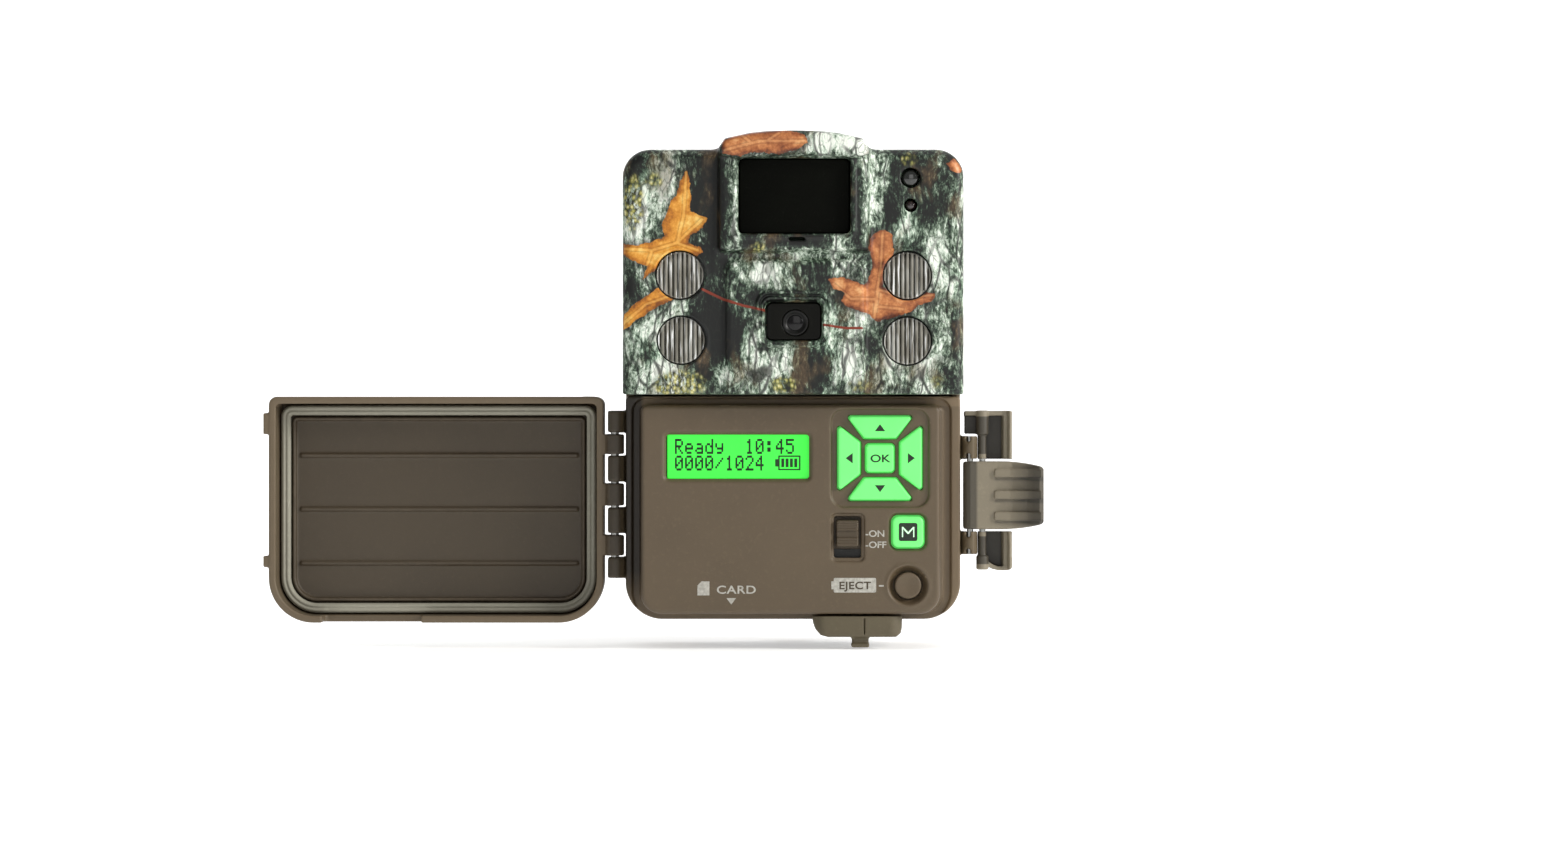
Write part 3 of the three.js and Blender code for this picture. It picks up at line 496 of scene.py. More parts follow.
def camo_attrs(o, v, orange=ORANGE, rust=RUST, stems=STEMS, ribs_o=RIBS_O, ribs_r=RIBS_R, pale=PALE, darks=DARKS, moss=MOSS):
    """v: points in mm (x, y, height). Values that the camouflage shader reads."""
    x, z = v[:, 0].astype(float), v[:, 2].astype(float)
    # the film is stretched round the sides, so the pattern there runs on from the face
    depth = np.clip(v[:, 1] + 57.5, 0, None)
    side = np.abs(x) > 39.5
    xs = np.where(side, x + np.sign(x) * depth, x)
    def area(polys):
        d = np.full(x.shape, 30.0)
        for p in polys:
            d = np.minimum(d, pol(xs, z, p))
        return d
    def patches(ps):
        s = np.zeros(x.shape)
        for cx, cz, rx, rz, k in ps:
            s = np.maximum(s, k * np.exp(-(((xs - cx) / rx) ** 2 + ((z - cz) / rz) ** 2) * 0.9))
        return s
    value_attr(o, "leaf_o", np.clip(area(orange), -8, 8))
    value_attr(o, "leaf_r", np.clip(area(rust), -8, 8))
    value_attr(o, "rib_o", np.clip(line_dist(xs, z, ribs_o), 0, 8))
    value_attr(o, "rib_r", np.clip(line_dist(xs, z, ribs_r), 0, 8))
    value_attr(o, "stem", np.clip(line_dist(xs, z, stems), 0, 8))
    value_attr(o, "tone", patches(pale) - patches(darks))
    value_attr(o, "moss", patches(moss))


def camo_material(name="camouflage_film"):
    m, t, b = material(name, srgb(110, 118, 100), 0.42, Specular_IOR_Level=0.45)
    N = Net(t)
    # bark: stretched along Z, plates parted by dark cracks
    warp = N.noise(70, 3, 0.5, out="Color")
    bent = N.n("ShaderNodeVectorMath", operation="MULTIPLY_ADD")
    N.to(warp, bent.inputs[0])
    bent.inputs[1].default_value = (0.0042, 0.0042, 0.0042)
    N.to(N.geo, bent.inputs[2])
    W = bent.outputs[0]
    streak = N.noise(1.0, 6, 0.68, vec=N.map((420, 420, 92), src=W), distortion=0.6)
    broad = N.noise(1.0, 4, 0.55, vec=N.map((150, 150, 52), loc=(3.1, 0, 1.7), src=W), distortion=0.4)
    fine = N.noise(1.0, 5, 0.7, vec=N.map((1500, 1500, 620), src=W))
    crack = N.voronoi(1.0, vec=N.map((330, 330, 120), src=W), feature="DISTANCE_TO_EDGE")
    crack2 = N.voronoi(1.0, vec=N.map((760, 760, 300), loc=(1, 2, 3), src=W), feature="DISTANCE_TO_EDGE")
    tone = N.attr("tone")
    mid = N.noise(1.0, 4, 0.75, vec=N.map((760, 760, 430), loc=(5, 3, 9), src=W), distortion=0.8)
    v = N.math("ADD", N.math("MULTIPLY", streak, 0.46), N.math("MULTIPLY", broad, 0.56))
    v = N.math("ADD", v, N.math("MULTIPLY", fine, 0.50))
    v = N.math("ADD", v, N.math("MULTIPLY", mid, 0.50))
    v = N.math("ADD", v, N.math("MULTIPLY", tone, 0.20))
    v = N.math("SUBTRACT", v, 0.505)
    v = N.math("ADD", N.math("MULTIPLY", v, 1.62), -0.318)
    bark = N.ramp(v, [(0.30, srgb(3, 5, 3)), (0.39, srgb(15, 23, 16)), (0.455, srgb(48, 64, 50)), (0.53, srgb(92, 110, 92)), (0.60, srgb(146, 162, 143)), (0.68, srgb(202, 216, 200)), (0.78, srgb(240, 245, 234))])
    # brownish bark between the grey plates
    tan = N.noise(1.0, 3, 0.6, vec=N.map((120, 120, 70), loc=(7, 1, 4), src=W))
    bark = N.mix(N.math("MULTIPLY", N.mask(tan, 0.53, 0.66), 0.62), bark, N.ramp(fine, [(0.3, srgb(38, 28, 18)), (0.55, srgb(104, 84, 58)), (0.75, srgb(168, 146, 108))]))
    teal = N.noise(1.0, 2, 0.5, vec=N.map((95, 95, 60), loc=(2, 9, 4), src=W))
    bark = N.mix(N.math("MULTIPLY", N.mask(teal, 0.52, 0.68), 0.34), bark, srgb(92, 134, 118), mode="OVERLAY")
    line = N.math("MULTIPLY", N.math("SUBTRACT", 1.0, N.mask(crack, 0.02, 0.11)), N.mask(broad, 0.38, 0.62))
    bark = N.mix(N.math("MULTIPLY", line, 0.86), bark, srgb(9, 11, 8))
    line2 = N.math("MULTIPLY", N.math("SUBTRACT", 1.0, N.mask(crack2, 0.015, 0.07)), N.mask(streak, 0.36, 0.6))
    bark = N.mix(N.math("MULTIPLY", line2, 0.6), bark, srgb(20, 24, 17))
    # lichen: yellow-green speckle
    spots = N.voronoi(1.0, vec=N.map((1050, 1050, 800), src=W))
    moss_fac = N.math("MULTIPLY", N.mask(N.math("ADD", N.attr("moss"), N.math("MULTIPLY", streak, 0.5)), 0.55, 0.85), N.mask(fine, 0.36, 0.55))
    moss_col = N.ramp(spots, [(0.10, srgb(228, 220, 160)), (0.34, srgb(158, 154, 80)), (0.6, srgb(70, 74, 34)), (0.8, srgb(20, 22, 12))])
    bark = N.mix(moss_fac, bark, moss_col)
    # leaves
    edge = N.math("MULTIPLY", N.math("SUBTRACT", N.noise(1.0, 3, 0.6, vec=N.map((620, 620, 620))), 0.5), 1.5)
    grainy = N.noise(1.0, 5, 0.7, vec=N.map((900, 900, 900), loc=(4, 4, 4)))
    blot = N.noise(1.0, 3, 0.55, vec=N.map((210, 210, 210), loc=(8, 2, 5)))
    def leaf_layer(col, area, rib, dark, mid, light, tip):
        d = N.math("ADD", N.attr(area), edge)
        inside = N.math("SUBTRACT", 1.0, N.mask(d, -0.10, 0.06))
        halo = N.math("SUBTRACT", 1.0, N.mask(d, 0.0, 1.5))
        col = N.mix(N.math("MULTIPLY", halo, 0.62), col, srgb(12, 12, 8))
        tone_l = N.math("ADD", N.math("MULTIPLY", grainy, 0.45), N.math("MULTIPLY", blot, 0.75))
        tone_l = N.math("SUBTRACT", tone_l, N.math("MULTIPLY", N.math("SUBTRACT", 1.0, N.mask(N.math("MULTIPLY", d, -1.0), 0.0, 1.3)), 0.13))
        c = N.ramp(tone_l, [(0.36, dark), (0.50, mid), (0.62, light), (0.76, tip)])
        vein = N.math("SUBTRACT", 1.0, N.mask(N.attr(rib), 0.10, 0.34))
        c = N.mix(N.math("MULTIPLY", vein, 0.30), c, tip)
        under = N.math("MULTIPLY", N.mask(N.attr(rib), 0.3, 0.42), N.math("SUBTRACT", 1.0, N.mask(N.attr(rib), 0.42, 0.85)))
        c = N.mix(N.math("MULTIPLY", under, 0.35), c, dark)
        return N.mix(inside, col, c)
    col = leaf_layer(bark, "leaf_r", "rib_r", srgb(84, 40, 22), srgb(150, 84, 44), srgb(192, 122, 70), srgb(226, 172, 116))
    col = leaf_layer(col, "leaf_o", "rib_o", srgb(122, 66, 14), srgb(190, 118, 30), srgb(222, 154, 56), srgb(246, 204, 112))
    stem = N.math("SUBTRACT", 1.0, N.mask(N.math("ADD", N.attr("stem"), N.math("MULTIPLY", edge, 0.12)), 0.20, 0.40))
    col = N.mix(stem, col, srgb(124, 44, 24))
    N.to(col, b.inputs["Base Color"])
    N.bump(N.math("ADD", N.math("MULTIPLY", v, 0.3), N.noise(2400, 2)), 0.22, 0.00005, b)
    return m


CAMO = camo_material()

# ---------------------------------------------------------------- camera, floor, light
cam = bpy.data.cameras.new("camera")
cam.sensor_width = 36.0
cam.lens = 36.0 * 1000.0 / 381.6
cam.clip_start, cam.clip_end = 0.05, 30
camera = bpy.data.objects.new("camera", cam)
bpy.context.scene.collection.objects.link(camera)
camera.location = (-0.0022, -1.050, -0.01125)
camera.rotation_euler = (math.radians(90), 0, 0)
bpy.context.scene.camera = camera

floor_mat, ft, fb = material("floor", srgb(246, 246, 246), 0.75)
FN = Net(ft)
FN.to(FN.ramp(FN.noise(3.0, 3), [(0.3, srgb(242, 242, 242)), (0.7, srgb(250, 250, 250))]), fb.inputs["Base Color"])
fb.inputs["Emission Color"].default_value = (1, 1, 1, 1)
fb.inputs["Emission Strength"].default_value = 0.42
# one sheet: floor, a wide curve, and a wall behind
prof = [(-2.6, 0.0)] + [(1.2 + 0.9 * math.sin(a), 0.9 - 0.9 * math.cos(a)) for a in np.linspace(0, math.pi / 2, 17)] + [(2.1, 3.2)]
FLOOR_Z = CAD_BOX[0][2] - 0.0004
fv, ff = [], []
for i, (yy, zz) in enumerate(prof):
    for xx in (-3.5, 3.5):
        fv.append((xx, yy, FLOOR_Z + zz))
    if i:
        ff.append((2 * i - 2, 2 * i - 1, 2 * i + 1, 2 * i))
floor = mesh_of("floor", fv, ff)
floor.data.materials.append(floor_mat)


def area(name, loc, aim, power, size, color=(1, 1, 1)):
    li = bpy.data.lights.new(name, "AREA")
    li.shape = "RECTANGLE"
    li.size, li.size_y = size
    li.energy = power
    li.color = color
    o = bpy.data.objects.new(name, li)
    bpy.context.scene.collection.objects.link(o)
    o.location = loc
    o.rotation_euler = (Vector(aim) - Vector(loc)).to_track_quat("-Z", "Y").to_euler()
    return o


area("key", (1.25, -0.62, 0.55), (0.0, -0.04, 0.0), 17.0, (0.45, 0.45), (1.0, 0.985, 0.95))
area("fill", (0.15, -1.5, 0.35), (0.0, -0.04, 0.0), 1.2, (0.6, 0.6), (1.0, 0.99, 0.97))
area("top", (0.3, -0.25, 1.2), (0.0, 0.0, 0.0), 3.2, (0.8, 0.5))
area("back", (0.0, 1.0, 1.6), (0.0, 2.1, 0.2), 14, (2.4, 0.6))
world = bpy.data.worlds.new("world")
bpy.context.scene.world = world
world.use_nodes = True
world.node_tree.nodes["Background"].inputs["Color"].default_value = (1, 1, 1, 1)
world.node_tree.nodes["Background"].inputs["Strength"].default_value = 0.30
bpy.context.scene.view_settings.view_transform = "Standard"

# ================================================================ front housing
LENS = (0.1, 72.4)
IRS = {"upper_left": (-27.3, 83.6), "lower_left": (-27.0, 67.9), "upper_right": (27.6, 83.5), "lower_right": (27.6, 67.7)}


def front_housing():
    g = Grid(-41.25, 41.25, -63.5, -44.3, 54.8, 118.3, 0.34)
    x, y, z = g.x, g.y, g.z
    brow = [(-17.9, 89.6), (18.3, 89.6), (18.3, 114.0), (16.9, 116.2), (11, 117.5), (5, 118.15), (0.2, 118.3), (-4.6, 118.15), (-10.6, 117.5), (-16.5, 116.2), (-17.9, 114.0)]
    F = ext(rr(x, z, -41.25, 41.25, 44.8, 114.1, (1.2, 1.2, 6.8, 6.8)), y, -58.5, -44.3, 2.6, 0.15)
    inner = [(px * 0.955 + 0.0, 103 + (pz - 103) * 0.955) for px, pz in brow]
    F = smin(F, ext(pol(x, z, inner, 0.8), y, -61.2, -44.3, 1.5, 0.15), 2.0)
    # plateau around the lens, and the cheeks that lead up to the sensor column
    F = smin(F, ext(rr(x, z, -16.0, 17.2, 50.0, 87.0, (0, 0, 3.2, 3.2)), y, -59.9, -56.0, 0.9), 1.6)
    # visor
    visor = [(-17.4, 112.9), (-13.3, 111.9), (-6, 112.5), (0.4, 112.8), (7, 112.5), (14, 111.9), (17.8, 112.9), (17.8, 114.0), (16.5, 115.9), (11, 117.1), (5, 117.75), (0.2, 117.9), (-4.6, 117.75), (-10.6, 117.1), (-16.1, 115.9), (-17.4, 114.0)]
    F = smin(F, ext(pol(x, z, visor, 0.4), y, -63.5, -59.0, 1.3), 1.2)
    # raised frame round the sensor window: a thin lip
    ring = np.abs(rr(x, z, -14.1, 14.7, 92.7, 112.5, 1.8)) - 0.45
    F = smin(F, ext(ring, y, -61.6, -60.0, 0.35), 0.5)
    F = cut(F, ext(rr(x, z, -13.2, 13.8, 93.5, 111.7, 1.3), y, -70, -48), 0.5)
    # lens bezel: outer lip, groove, inner lip, then a slope down to the window
    lx, lz = LENS
    outer = rr(x, z, -8.9, 9.2, 66.1, 79.8, 3.4)
    F = smin(F, ext(outer, y, -60.85, -58.0, 0.5), 0.3)
    F = cut(F, ext(np.abs(rr(x, z, -7.9, 8.2, 67.0, 78.7, 2.5)) - 0.36, y, -64, -60.05), 0.2)
    slope = rr(x, z, -6.75, 6.9, 67.8, 77.05, 1.6) - np.clip(-59.1 - y, 0, 2) * 0.45
    F = cut(F, np.maximum(slope, y - (-48)).astype(F32), 0.3)
    # infra-red windows, light sensor and indicator
    for cx, cz in IRS.values():
        F = smin(F, ext(np.abs(circ(x, z, cx, cz, 6.35)) - 0.3, y, -58.75, -57.0, 0.28), 0.5)
        F = cut(F, ext(circ(x, z, cx, cz, 6.0), y, -64, -48), 0.35)
    F = cut(F, ext(circ(x, z, 28.4, 107.1, 2.4), y, -64, -48), 0.6)
    F = cut(F, ext(circ(x, z, 28.4, 100.5, 1.6), y, -64, -48), 0.5)
    F = cut(F, ext(rr(x, z, -1.05, 2.85, 91.85, 92.7, 0.4), y, -64, -48), 0.2)
    # hollow behind
    F = cut(F, ext(rr(x, z, -39.0, 39.0, 57.0, 111.9, (1, 1, 4.8, 4.8)), y, -56.1, -40, 0.5))
    F = cut(F, ext(rr(x, z, -15.6, 16.0, 91.6, 115.2, 1), y, -58.9, -40, 0.5))
    F = np.maximum(F, z - 118.25).astype(F32)
    F = -smin(-F, z - 54.85 + 0 * F, 0.7)
    v, q = nets(F, g)
    o = mesh_of("camouflaged_front_housing", place(v), q)
    camo_attrs(o, v)
    return dress(o, CAMO, "camera", ["front_housing"])


front_housing()


# ================================================================ control panel
PAD, MODE, EJECT = (21.1, 39.4), (27.9, 21.5), (27.9, 8.5)


def trapezoid(side, a, b, wa, wb):
    s = {"up": [(-wb, b), (wb, b), (wa, a), (-wa, a)], "down": [(-wa, -a), (wa, -a), (wb, -b), (-wb, -b)],
         "left": [(-a, -wa), (-b, -wb), (-b, wb), (-a, wa)], "right": [(b, -wb), (a, -wa), (a, wa), (b, wb)]}[side]
    return [(PAD[0] + u, PAD[1] + w) for u, w in s]


def control_panel():
    g = Grid(-40.9, 40.9, -53.0, -44.3, 0.0, 54.5, 0.25)
    x, y, z = g.x, g.y, g.z
    F = ext(rr(x, z, -40.9, 40.9, 0.0, 54.5, (9, 9, 1, 1)), y, -46.0, -44.3, 0.45, 0.15)
    block = rr(x, z, -37.0, 35.7, 1.6, 52.3, (5, 5, 1.6, 1.6))
    # drainage groove round the block, so the rim stands up as a lip
    F = cut(F, ext(np.abs(rr(x, z, -38.3, 37.6, 0.3, 53.0, (6.4, 6.4, 2.4, 2.4))) - 0.95, y, -60, -45.15), 0.4)
    F = smin(F, ext(block, y, -53.0, -44.6, 1.0, 0.1), 0.5)
    F = cut(F, ext(rr(x, z, -34.8, 33.5, 3.8, 50.1, (3, 3, 1, 1)), y, -50.8, -40))
    # display frame: a chamfered tray, then the opening
    tray = rr(x, z, -31.6, 4.6, 33.6, 45.9, 1.6) + np.clip(y + 53.0, 0, 3) * 0.9
    F = cut(F, np.maximum(tray, y - (-52.05)).astype(F32), 0.35)
    F = cut(F, ext(rr(x, z, -29.6, 3.3, 35.1, 44.9, 1.0), y, -60, -50), 0.2)
    F = cut(F, ext(rr(x, z, -30.9, 4.6, 34.0, 46.1, 0.3), y, -51.9, -50))
    # five-way pad: shallow tray with soft corners, four keys and the middle one
    F = cut(F, ext(rr(x, z, PAD[0] - 11.8, PAD[0] + 11.8, PAD[1] - 11.85, PAD[1] + 11.85, 3.2), y, -60, -52.25), 0.7)
    for s in ("up", "down", "left", "right"):
        F = cut(F, ext(pol(x, z, trapezoid(s, 9.9, 5.1, 7.3, 3.75), 0.5), y, -60, -50), 0.25)
    F = cut(F, ext(rr(x, z, PAD[0] - 3.65, PAD[0] + 3.65, PAD[1] - 3.65, PAD[1] + 3.65, 1.0), y, -60, -50), 0.25)
    # menu key
    F = cut(F, ext(rr(x, z, MODE[0] - 4.5, MODE[0] + 4.5, MODE[1] - 4.4, MODE[1] + 4.4, 2.0), y, -60, -52.25), 0.6)
    F = cut(F, ext(rr(x, z, MODE[0] - 4.1, MODE[0] + 4.1, MODE[1] - 4.1, MODE[1] + 4.1, 1.7), y, -60, -50), 0.2)
    # slide switch
    F = cut(F, ext(rr(x, z, 9.3, 17.3, 14.3, 26.0, 1.3), y, -60, -52.5), 0.4)
    F = cut(F, ext(rr(x, z, 9.9, 16.5, 15.2, 25.3, 0.5), y, -60, -50), 0.2)
    # eject button: dished well with a soft raised rim
    F = smin(F, ext(np.abs(circ(x, z, *EJECT, 5.0)) - 0.35, y, -53.0, -51.5, 0.3), 0.7)
    well = circ(x, z, *EJECT, 4.75) + np.clip(y + 53.0, 0, 3) * 0.55
    F = cut(F, np.maximum(well, y - (-51.4)).astype(F32), 0.5)
    F = cut(F, ext(circ(x, z, *EJECT, 3.55), y, -60, -50), 0.2)
    # card slot and the mouth of the power socket, in the lower side
    F = cut(F, ext(rr(x, y, -27.4, -2.6, -50.25, -47.45, 0.3), z, -2, 5), 0.25)
    F = cut(F, ext(circ(x, y, 15.7, -48.1, 2.9), z, -2, 5), 0.2)
    # the photo's right edge also shows two small vents, rivet-like dimples beside the lip; they are not modelled
    v, q = nets(F, g)
    o = mesh_of("control_panel_moulding", place(v), q)
    # painted shade on the left edge of the block, which stands in shadow; painted light on the right flange and on the
    # band under the overhang of the front housing
    value_attr(o, "shade", 0.9 * np.clip((-36.2 - v[:, 0]) / 1.2, 0, 1) * np.clip((v[:, 2] - 4.0) / 8.0, 0, 1))
    value_attr(o, "painted_light", np.clip(0.5 * np.clip((v[:, 0] - 36.2) / 1.0, 0, 1) + 0.95 * np.clip((v[:, 2] - 51.9) / 0.5, 0, 1), 0, 1) * (v[:, 0] > -38.5))
    return dress(o, BROWN, "camera", ["control_panel"])


control_panel()


def glow(name, rgb, strength, rough=0.35, spread=0.08):
    m, t, b = material(name, srgb(*rgb), rough)
    N = Net(t)
    base = srgb(*rgb)
    c = N.ramp(N.noise(120, 3), [(0.3, tuple(k * (1 - spread) for k in base[:3]) + (1,)), (0.7, base)])
    N.to(c, b.inputs["Base Color"])
    N.to(c, b.inputs["Emission Color"])
    b.inputs["Emission Strength"].default_value = strength
    N.bump(N.noise(1600, 2), 0.2, 0.00004, b)
    return m


KEY = glow("lit_key_rubber", (108, 234, 116), 0.44, 0.42)
LCD = glow("lit_display", (58, 232, 66), 0.55, 0.22, 0.05)
INK, _t, _b = material("display_ink", srgb(4, 52, 8), 0.5)
_N = Net(_t); _N.to(_N.ramp(_N.noise(900, 2), [(0.3, srgb(2, 40, 5)), (0.7, srgb(6, 58, 10))]), _b.inputs["Base Color"])
LEGEND, _t, _b = material("legend_ink", srgb(178, 174, 164), 0.55)
_N = Net(_t); _N.to(_N.ramp(_N.noise(1500, 3), [(0.35, srgb(160, 157, 148)), (0.7, srgb(196, 193, 184))]), _b.inputs["Base Color"])
DARKINK, _t, _b = material("key_ink", srgb(20, 34, 20), 0.5)
_N = Net(_t); _N.to(_N.ramp(_N.noise(1500, 3), [(0.35, srgb(12, 26, 12)), (0.7, srgb(28, 44, 28))]), _b.inputs["Base Color"])


def keys():
    for s in ("up", "down", "left", "right"):
        (cx, cz) = PAD
        lo, hi = {"up": ((-8.4, 4.6), (8.4, 10.6)), "down": ((-8.4, -10.6), (8.4, -4.6)), "left": ((-10.6, -8.4), (-4.6, 8.4)), "right": ((4.6, -8.4), (10.6, 8.4))}[s]
        g = Grid(cx + lo[0], cx + hi[0], -53.5, -49.0, cz + lo[1], cz + hi[1], 0.15)
        d = pol(g.x, g.z, trapezoid(s, 9.55, 5.45, 6.85, 3.55), 0.55)
        F = ext(d, g.y, -53.5, -49.0, 0.5, 0.1)
        F = np.minimum(F, ext(d - 0.35, g.y, -50.3, -49.6, 0.1, 0.1))
        shell(f"rubber_key_{s}", F, g, KEY, f"key_{s}", [f"key_{s}"])
    g = Grid(PAD[0] - 3.9, PAD[0] + 3.9, -53.5, -49.0, PAD[1] - 3.9, PAD[1] + 3.9, 0.15)
    d = rr(g.x, g.z, PAD[0] - 3.3, PAD[0] + 3.3, PAD[1] - 3.3, PAD[1] + 3.3, 0.8)
    F = np.minimum(ext(d, g.y, -53.5, -49.0, 0.45, 0.1), ext(d - 0.4, g.y, -50.3, -49.6, 0.1, 0.1))
    shell("rubber_key_ok", F, g, KEY, "key_ok", ["key_ok"])
    g = Grid(MODE[0] - 4.5, MODE[0] + 4.5, -53.5, -49.0, MODE[1] - 4.5, MODE[1] + 4.5, 0.15)
    d = rr(g.x, g.z, MODE[0] - 3.75, MODE[0] + 3.75, MODE[1] - 3.75, MODE[1] + 3.75, 1.5)
    F = np.minimum(ext(d, g.y, -53.5, -49.0, 0.6, 0.1), ext(d - 0.5, g.y, -50.3, -49.6, 0.1, 0.1))
    shell("rubber_key_menu", F, g, KEY, "key_menu", ["key_menu"])


keys()


def decal(name, polys, y, mat, body, thick=0.05):
    """Thin flat prints: outlines in mm facing the front, as closed prisms."""
    v, f = [], []
    for p in polys:
        n, b = len(p), len(v)
        area2 = sum(p[i - 1][0] * p[i][1] - p[i][0] * p[i - 1][1] for i in range(n))
        if area2 < 0:
            p = p[::-1]
        v += [(a, y - thick, c) for a, c in p] + [(a, y + thick, c) for a, c in p]
        f.append([b + i for i in range(n)])
        f.append([b + n + i for i in range(n)][::-1])
        f += [[b + i, b + n + i, b + n + (i + 1) % n, b + (i + 1) % n] for i in range(n)]
    o = mesh_of(name, place(np.array(v)), f, smooth=False)
    return dress(o, mat, body)


def lettering(name, text, x, z, height, y, mat, body, wide=1.0, thick=0.04, spacing=1.0, align="LEFT", bold=0.0):
    """Plain sans lettering standing on the panel, facing the front."""
    c = bpy.data.curves.new(name, "FONT")
    c.body = text
    c.size = height * 1.37 / 1000
    c.extrude = thick / 1000
    c.offset = bold / 1000
    c.align_x = align
    c.space_character = spacing
    c.resolution_u = 6
    o = bpy.data.objects.new(name + "_curve", c)
    bpy.context.scene.collection.objects.link(o)
    bpy.context.view_layer.update()
    me = bpy.data.meshes.new_from_object(o.evaluated_get(bpy.context.evaluated_depsgraph_get()))
    bpy.data.objects.remove(o)
    me.transform(Matrix.Translation((x / 1000, y / 1000, (z - DROP) / 1000)) @ Matrix.Rotation(math.radians(90), 4, "X") @ Matrix.Diagonal((wide, 1, 1, 1)))
    me.name = name
    o = bpy.data.objects.new(name, me)
    bpy.context.scene.collection.objects.link(o)
    return dress(o, mat, body)


def arrow(cx, cz, s, side):
    pts = {"up": [(-s, -0.6 * s), (s, -0.6 * s), (0, 0.75 * s)], "down": [(-s, 0.6 * s), (0, -0.75 * s), (s, 0.6 * s)],
           "left": [(0.6 * s, -s), (0.6 * s, s), (-0.75 * s, 0)], "right": [(-0.6 * s, -s), (0.75 * s, 0), (-0.6 * s, s)]}[side]
    return [(cx + a, cz + b) for a, b in pts]


for s, (dx, dz) in {"up": (0, 7.3), "down": (0, -7.3), "left": (-7.4, 0), "right": (7.5, 0)}.items():
    decal(f"arrow_{s}", [arrow(PAD[0] + dx, PAD[1] + dz, 1.25, s)], -53.5, DARKINK, f"key_{s}")
lettering("ok_print", "OK", PAD[0], PAD[1] - 0.95, 1.9, -53.5, DARKINK, "key_ok", wide=1.25, align="CENTER", bold=0.05)


def rounded(x0, x1, z0, z1, r, n=5):
    out = []
    for cx, cz, a0 in ((x0 + r, z0 + r, 180), (x1 - r, z0 + r, 270), (x1 - r, z1 - r, 0), (x0 + r, z1 - r, 90)):
        out += [(cx + r * math.cos(math.radians(a0 + 90 * i / n)), cz + r * math.sin(math.radians(a0 + 90 * i / n))) for i in range(n + 1)]
    return out


decal("menu_patch", [rounded(MODE[0] - 2.25, MODE[0] + 2.25, MODE[1] - 2.2, MODE[1] + 2.2, 0.5)], -53.5, DARKINK, "key_menu", 0.05)
_mx, _mz = MODE
decal("menu_print", [[(_mx + a * 1.5, _mz + b * 1.25) for a, b in q] for q in (
    [(-1, -1), (-0.82, -1), (-0.82, 1), (-1, 1)], [(0.82, -1), (1, -1), (1, 1), (0.82, 1)],
    [(-0.819, 1), (-0.819, 0.62), (-0.1, -0.36), (0.1, -0.36), (0, -0.02)], [(0.819, 1), (0.001, -0.02), (0.101, -0.36), (0.819, 0.62)])],
    -53.58, glow("menu_letter", (200, 250, 205), 0.5), "key_menu", 0.04)

# display: backlit pane with dot-matrix characters
GLYPHS = {
    "R": "11110 10001 10001 11110 10100 10010 10001", "e": "00000 00000 01110 10001 11111 10000 01110", "a": "00000 00000 01110 00001 01111 10001 01111",
    "d": "00001 00001 01101 10011 10001 10001 01111", "y": "00000 00000 10001 10001 01111 00001 01110", "0": "01110 10001 10011 10101 11001 10001 01110",
    "1": "00100 01100 00100 00100 00100 00100 01110", "2": "01110 10001 00001 00010 00100 01000 11111", "4": "00010 00110 01010 10010 11111 00010 00010",
    "5": "11111 10000 11110 00001 00001 10001 01110", ":": "00000 01100 01100 00000 01100 01100 00000", "/": "00000 00001 00010 00100 01000 10000 00000", " ": "00000 00000 00000 00000 00000 00000 00000",
}
dots = []
PX, PZ = 0.345, 0.50


def dot(x, z, w=PX * 1.32, h=PZ * 1.12):
    dots.append([(x, z), (x + w, z), (x + w, z + h), (x, z + h)])


for row, (text, top) in enumerate((("Ready  10:45", 44.05), ("0000/1024", 40.0))):
    for i, ch in enumerate(text):
        for j, bits in enumerate(GLYPHS[ch].split()):
            for k, bit in enumerate(bits):
                if bit == "1":
                    dot(-28.7 + i * 2.45 + k * (PX + 0.035), top - (j + 1) * (PZ + 0.02))
bx, bz = -3.6, 36.45
for a in (0.0, 3.25):
    dots.append([(bx, bz + a), (bx + 5.4, bz + a), (bx + 5.4, bz + a + 0.35), (bx, bz + a + 0.35)])
for a in (0.0, 5.05):
    dots.append([(bx + a, bz + 0.35), (bx + a + 0.35, bz + 0.35), (bx + a + 0.35, bz + 3.25), (bx + a, bz + 3.25)])
dots.append([(bx - 0.75, bz + 0.9), (bx, bz + 0.9), (bx, bz + 2.7), (bx - 0.75, bz + 2.7)])
for k in range(4):
    dots.append([(bx + 0.75 + k * 1.05, bz + 0.75), (bx + 1.45 + k * 1.05, bz + 0.75), (bx + 1.45 + k * 1.05, bz + 2.85), (bx + 0.75 + k * 1.05, bz + 2.85)])
g = Grid(-30.6, 4.3, -51.6, -50.9, 34.3, 45.8, 0.2)
shell("display_pane", ext(rr(g.x, g.z, -30.6, 4.3, 34.3, 45.8, 0.4), g.y, -51.6, -50.9, 0.12, 0.1), g, LCD, "camera", ["lcd_window"])
decal("display_characters", dots, -51.6, INK, "camera", 0.03)

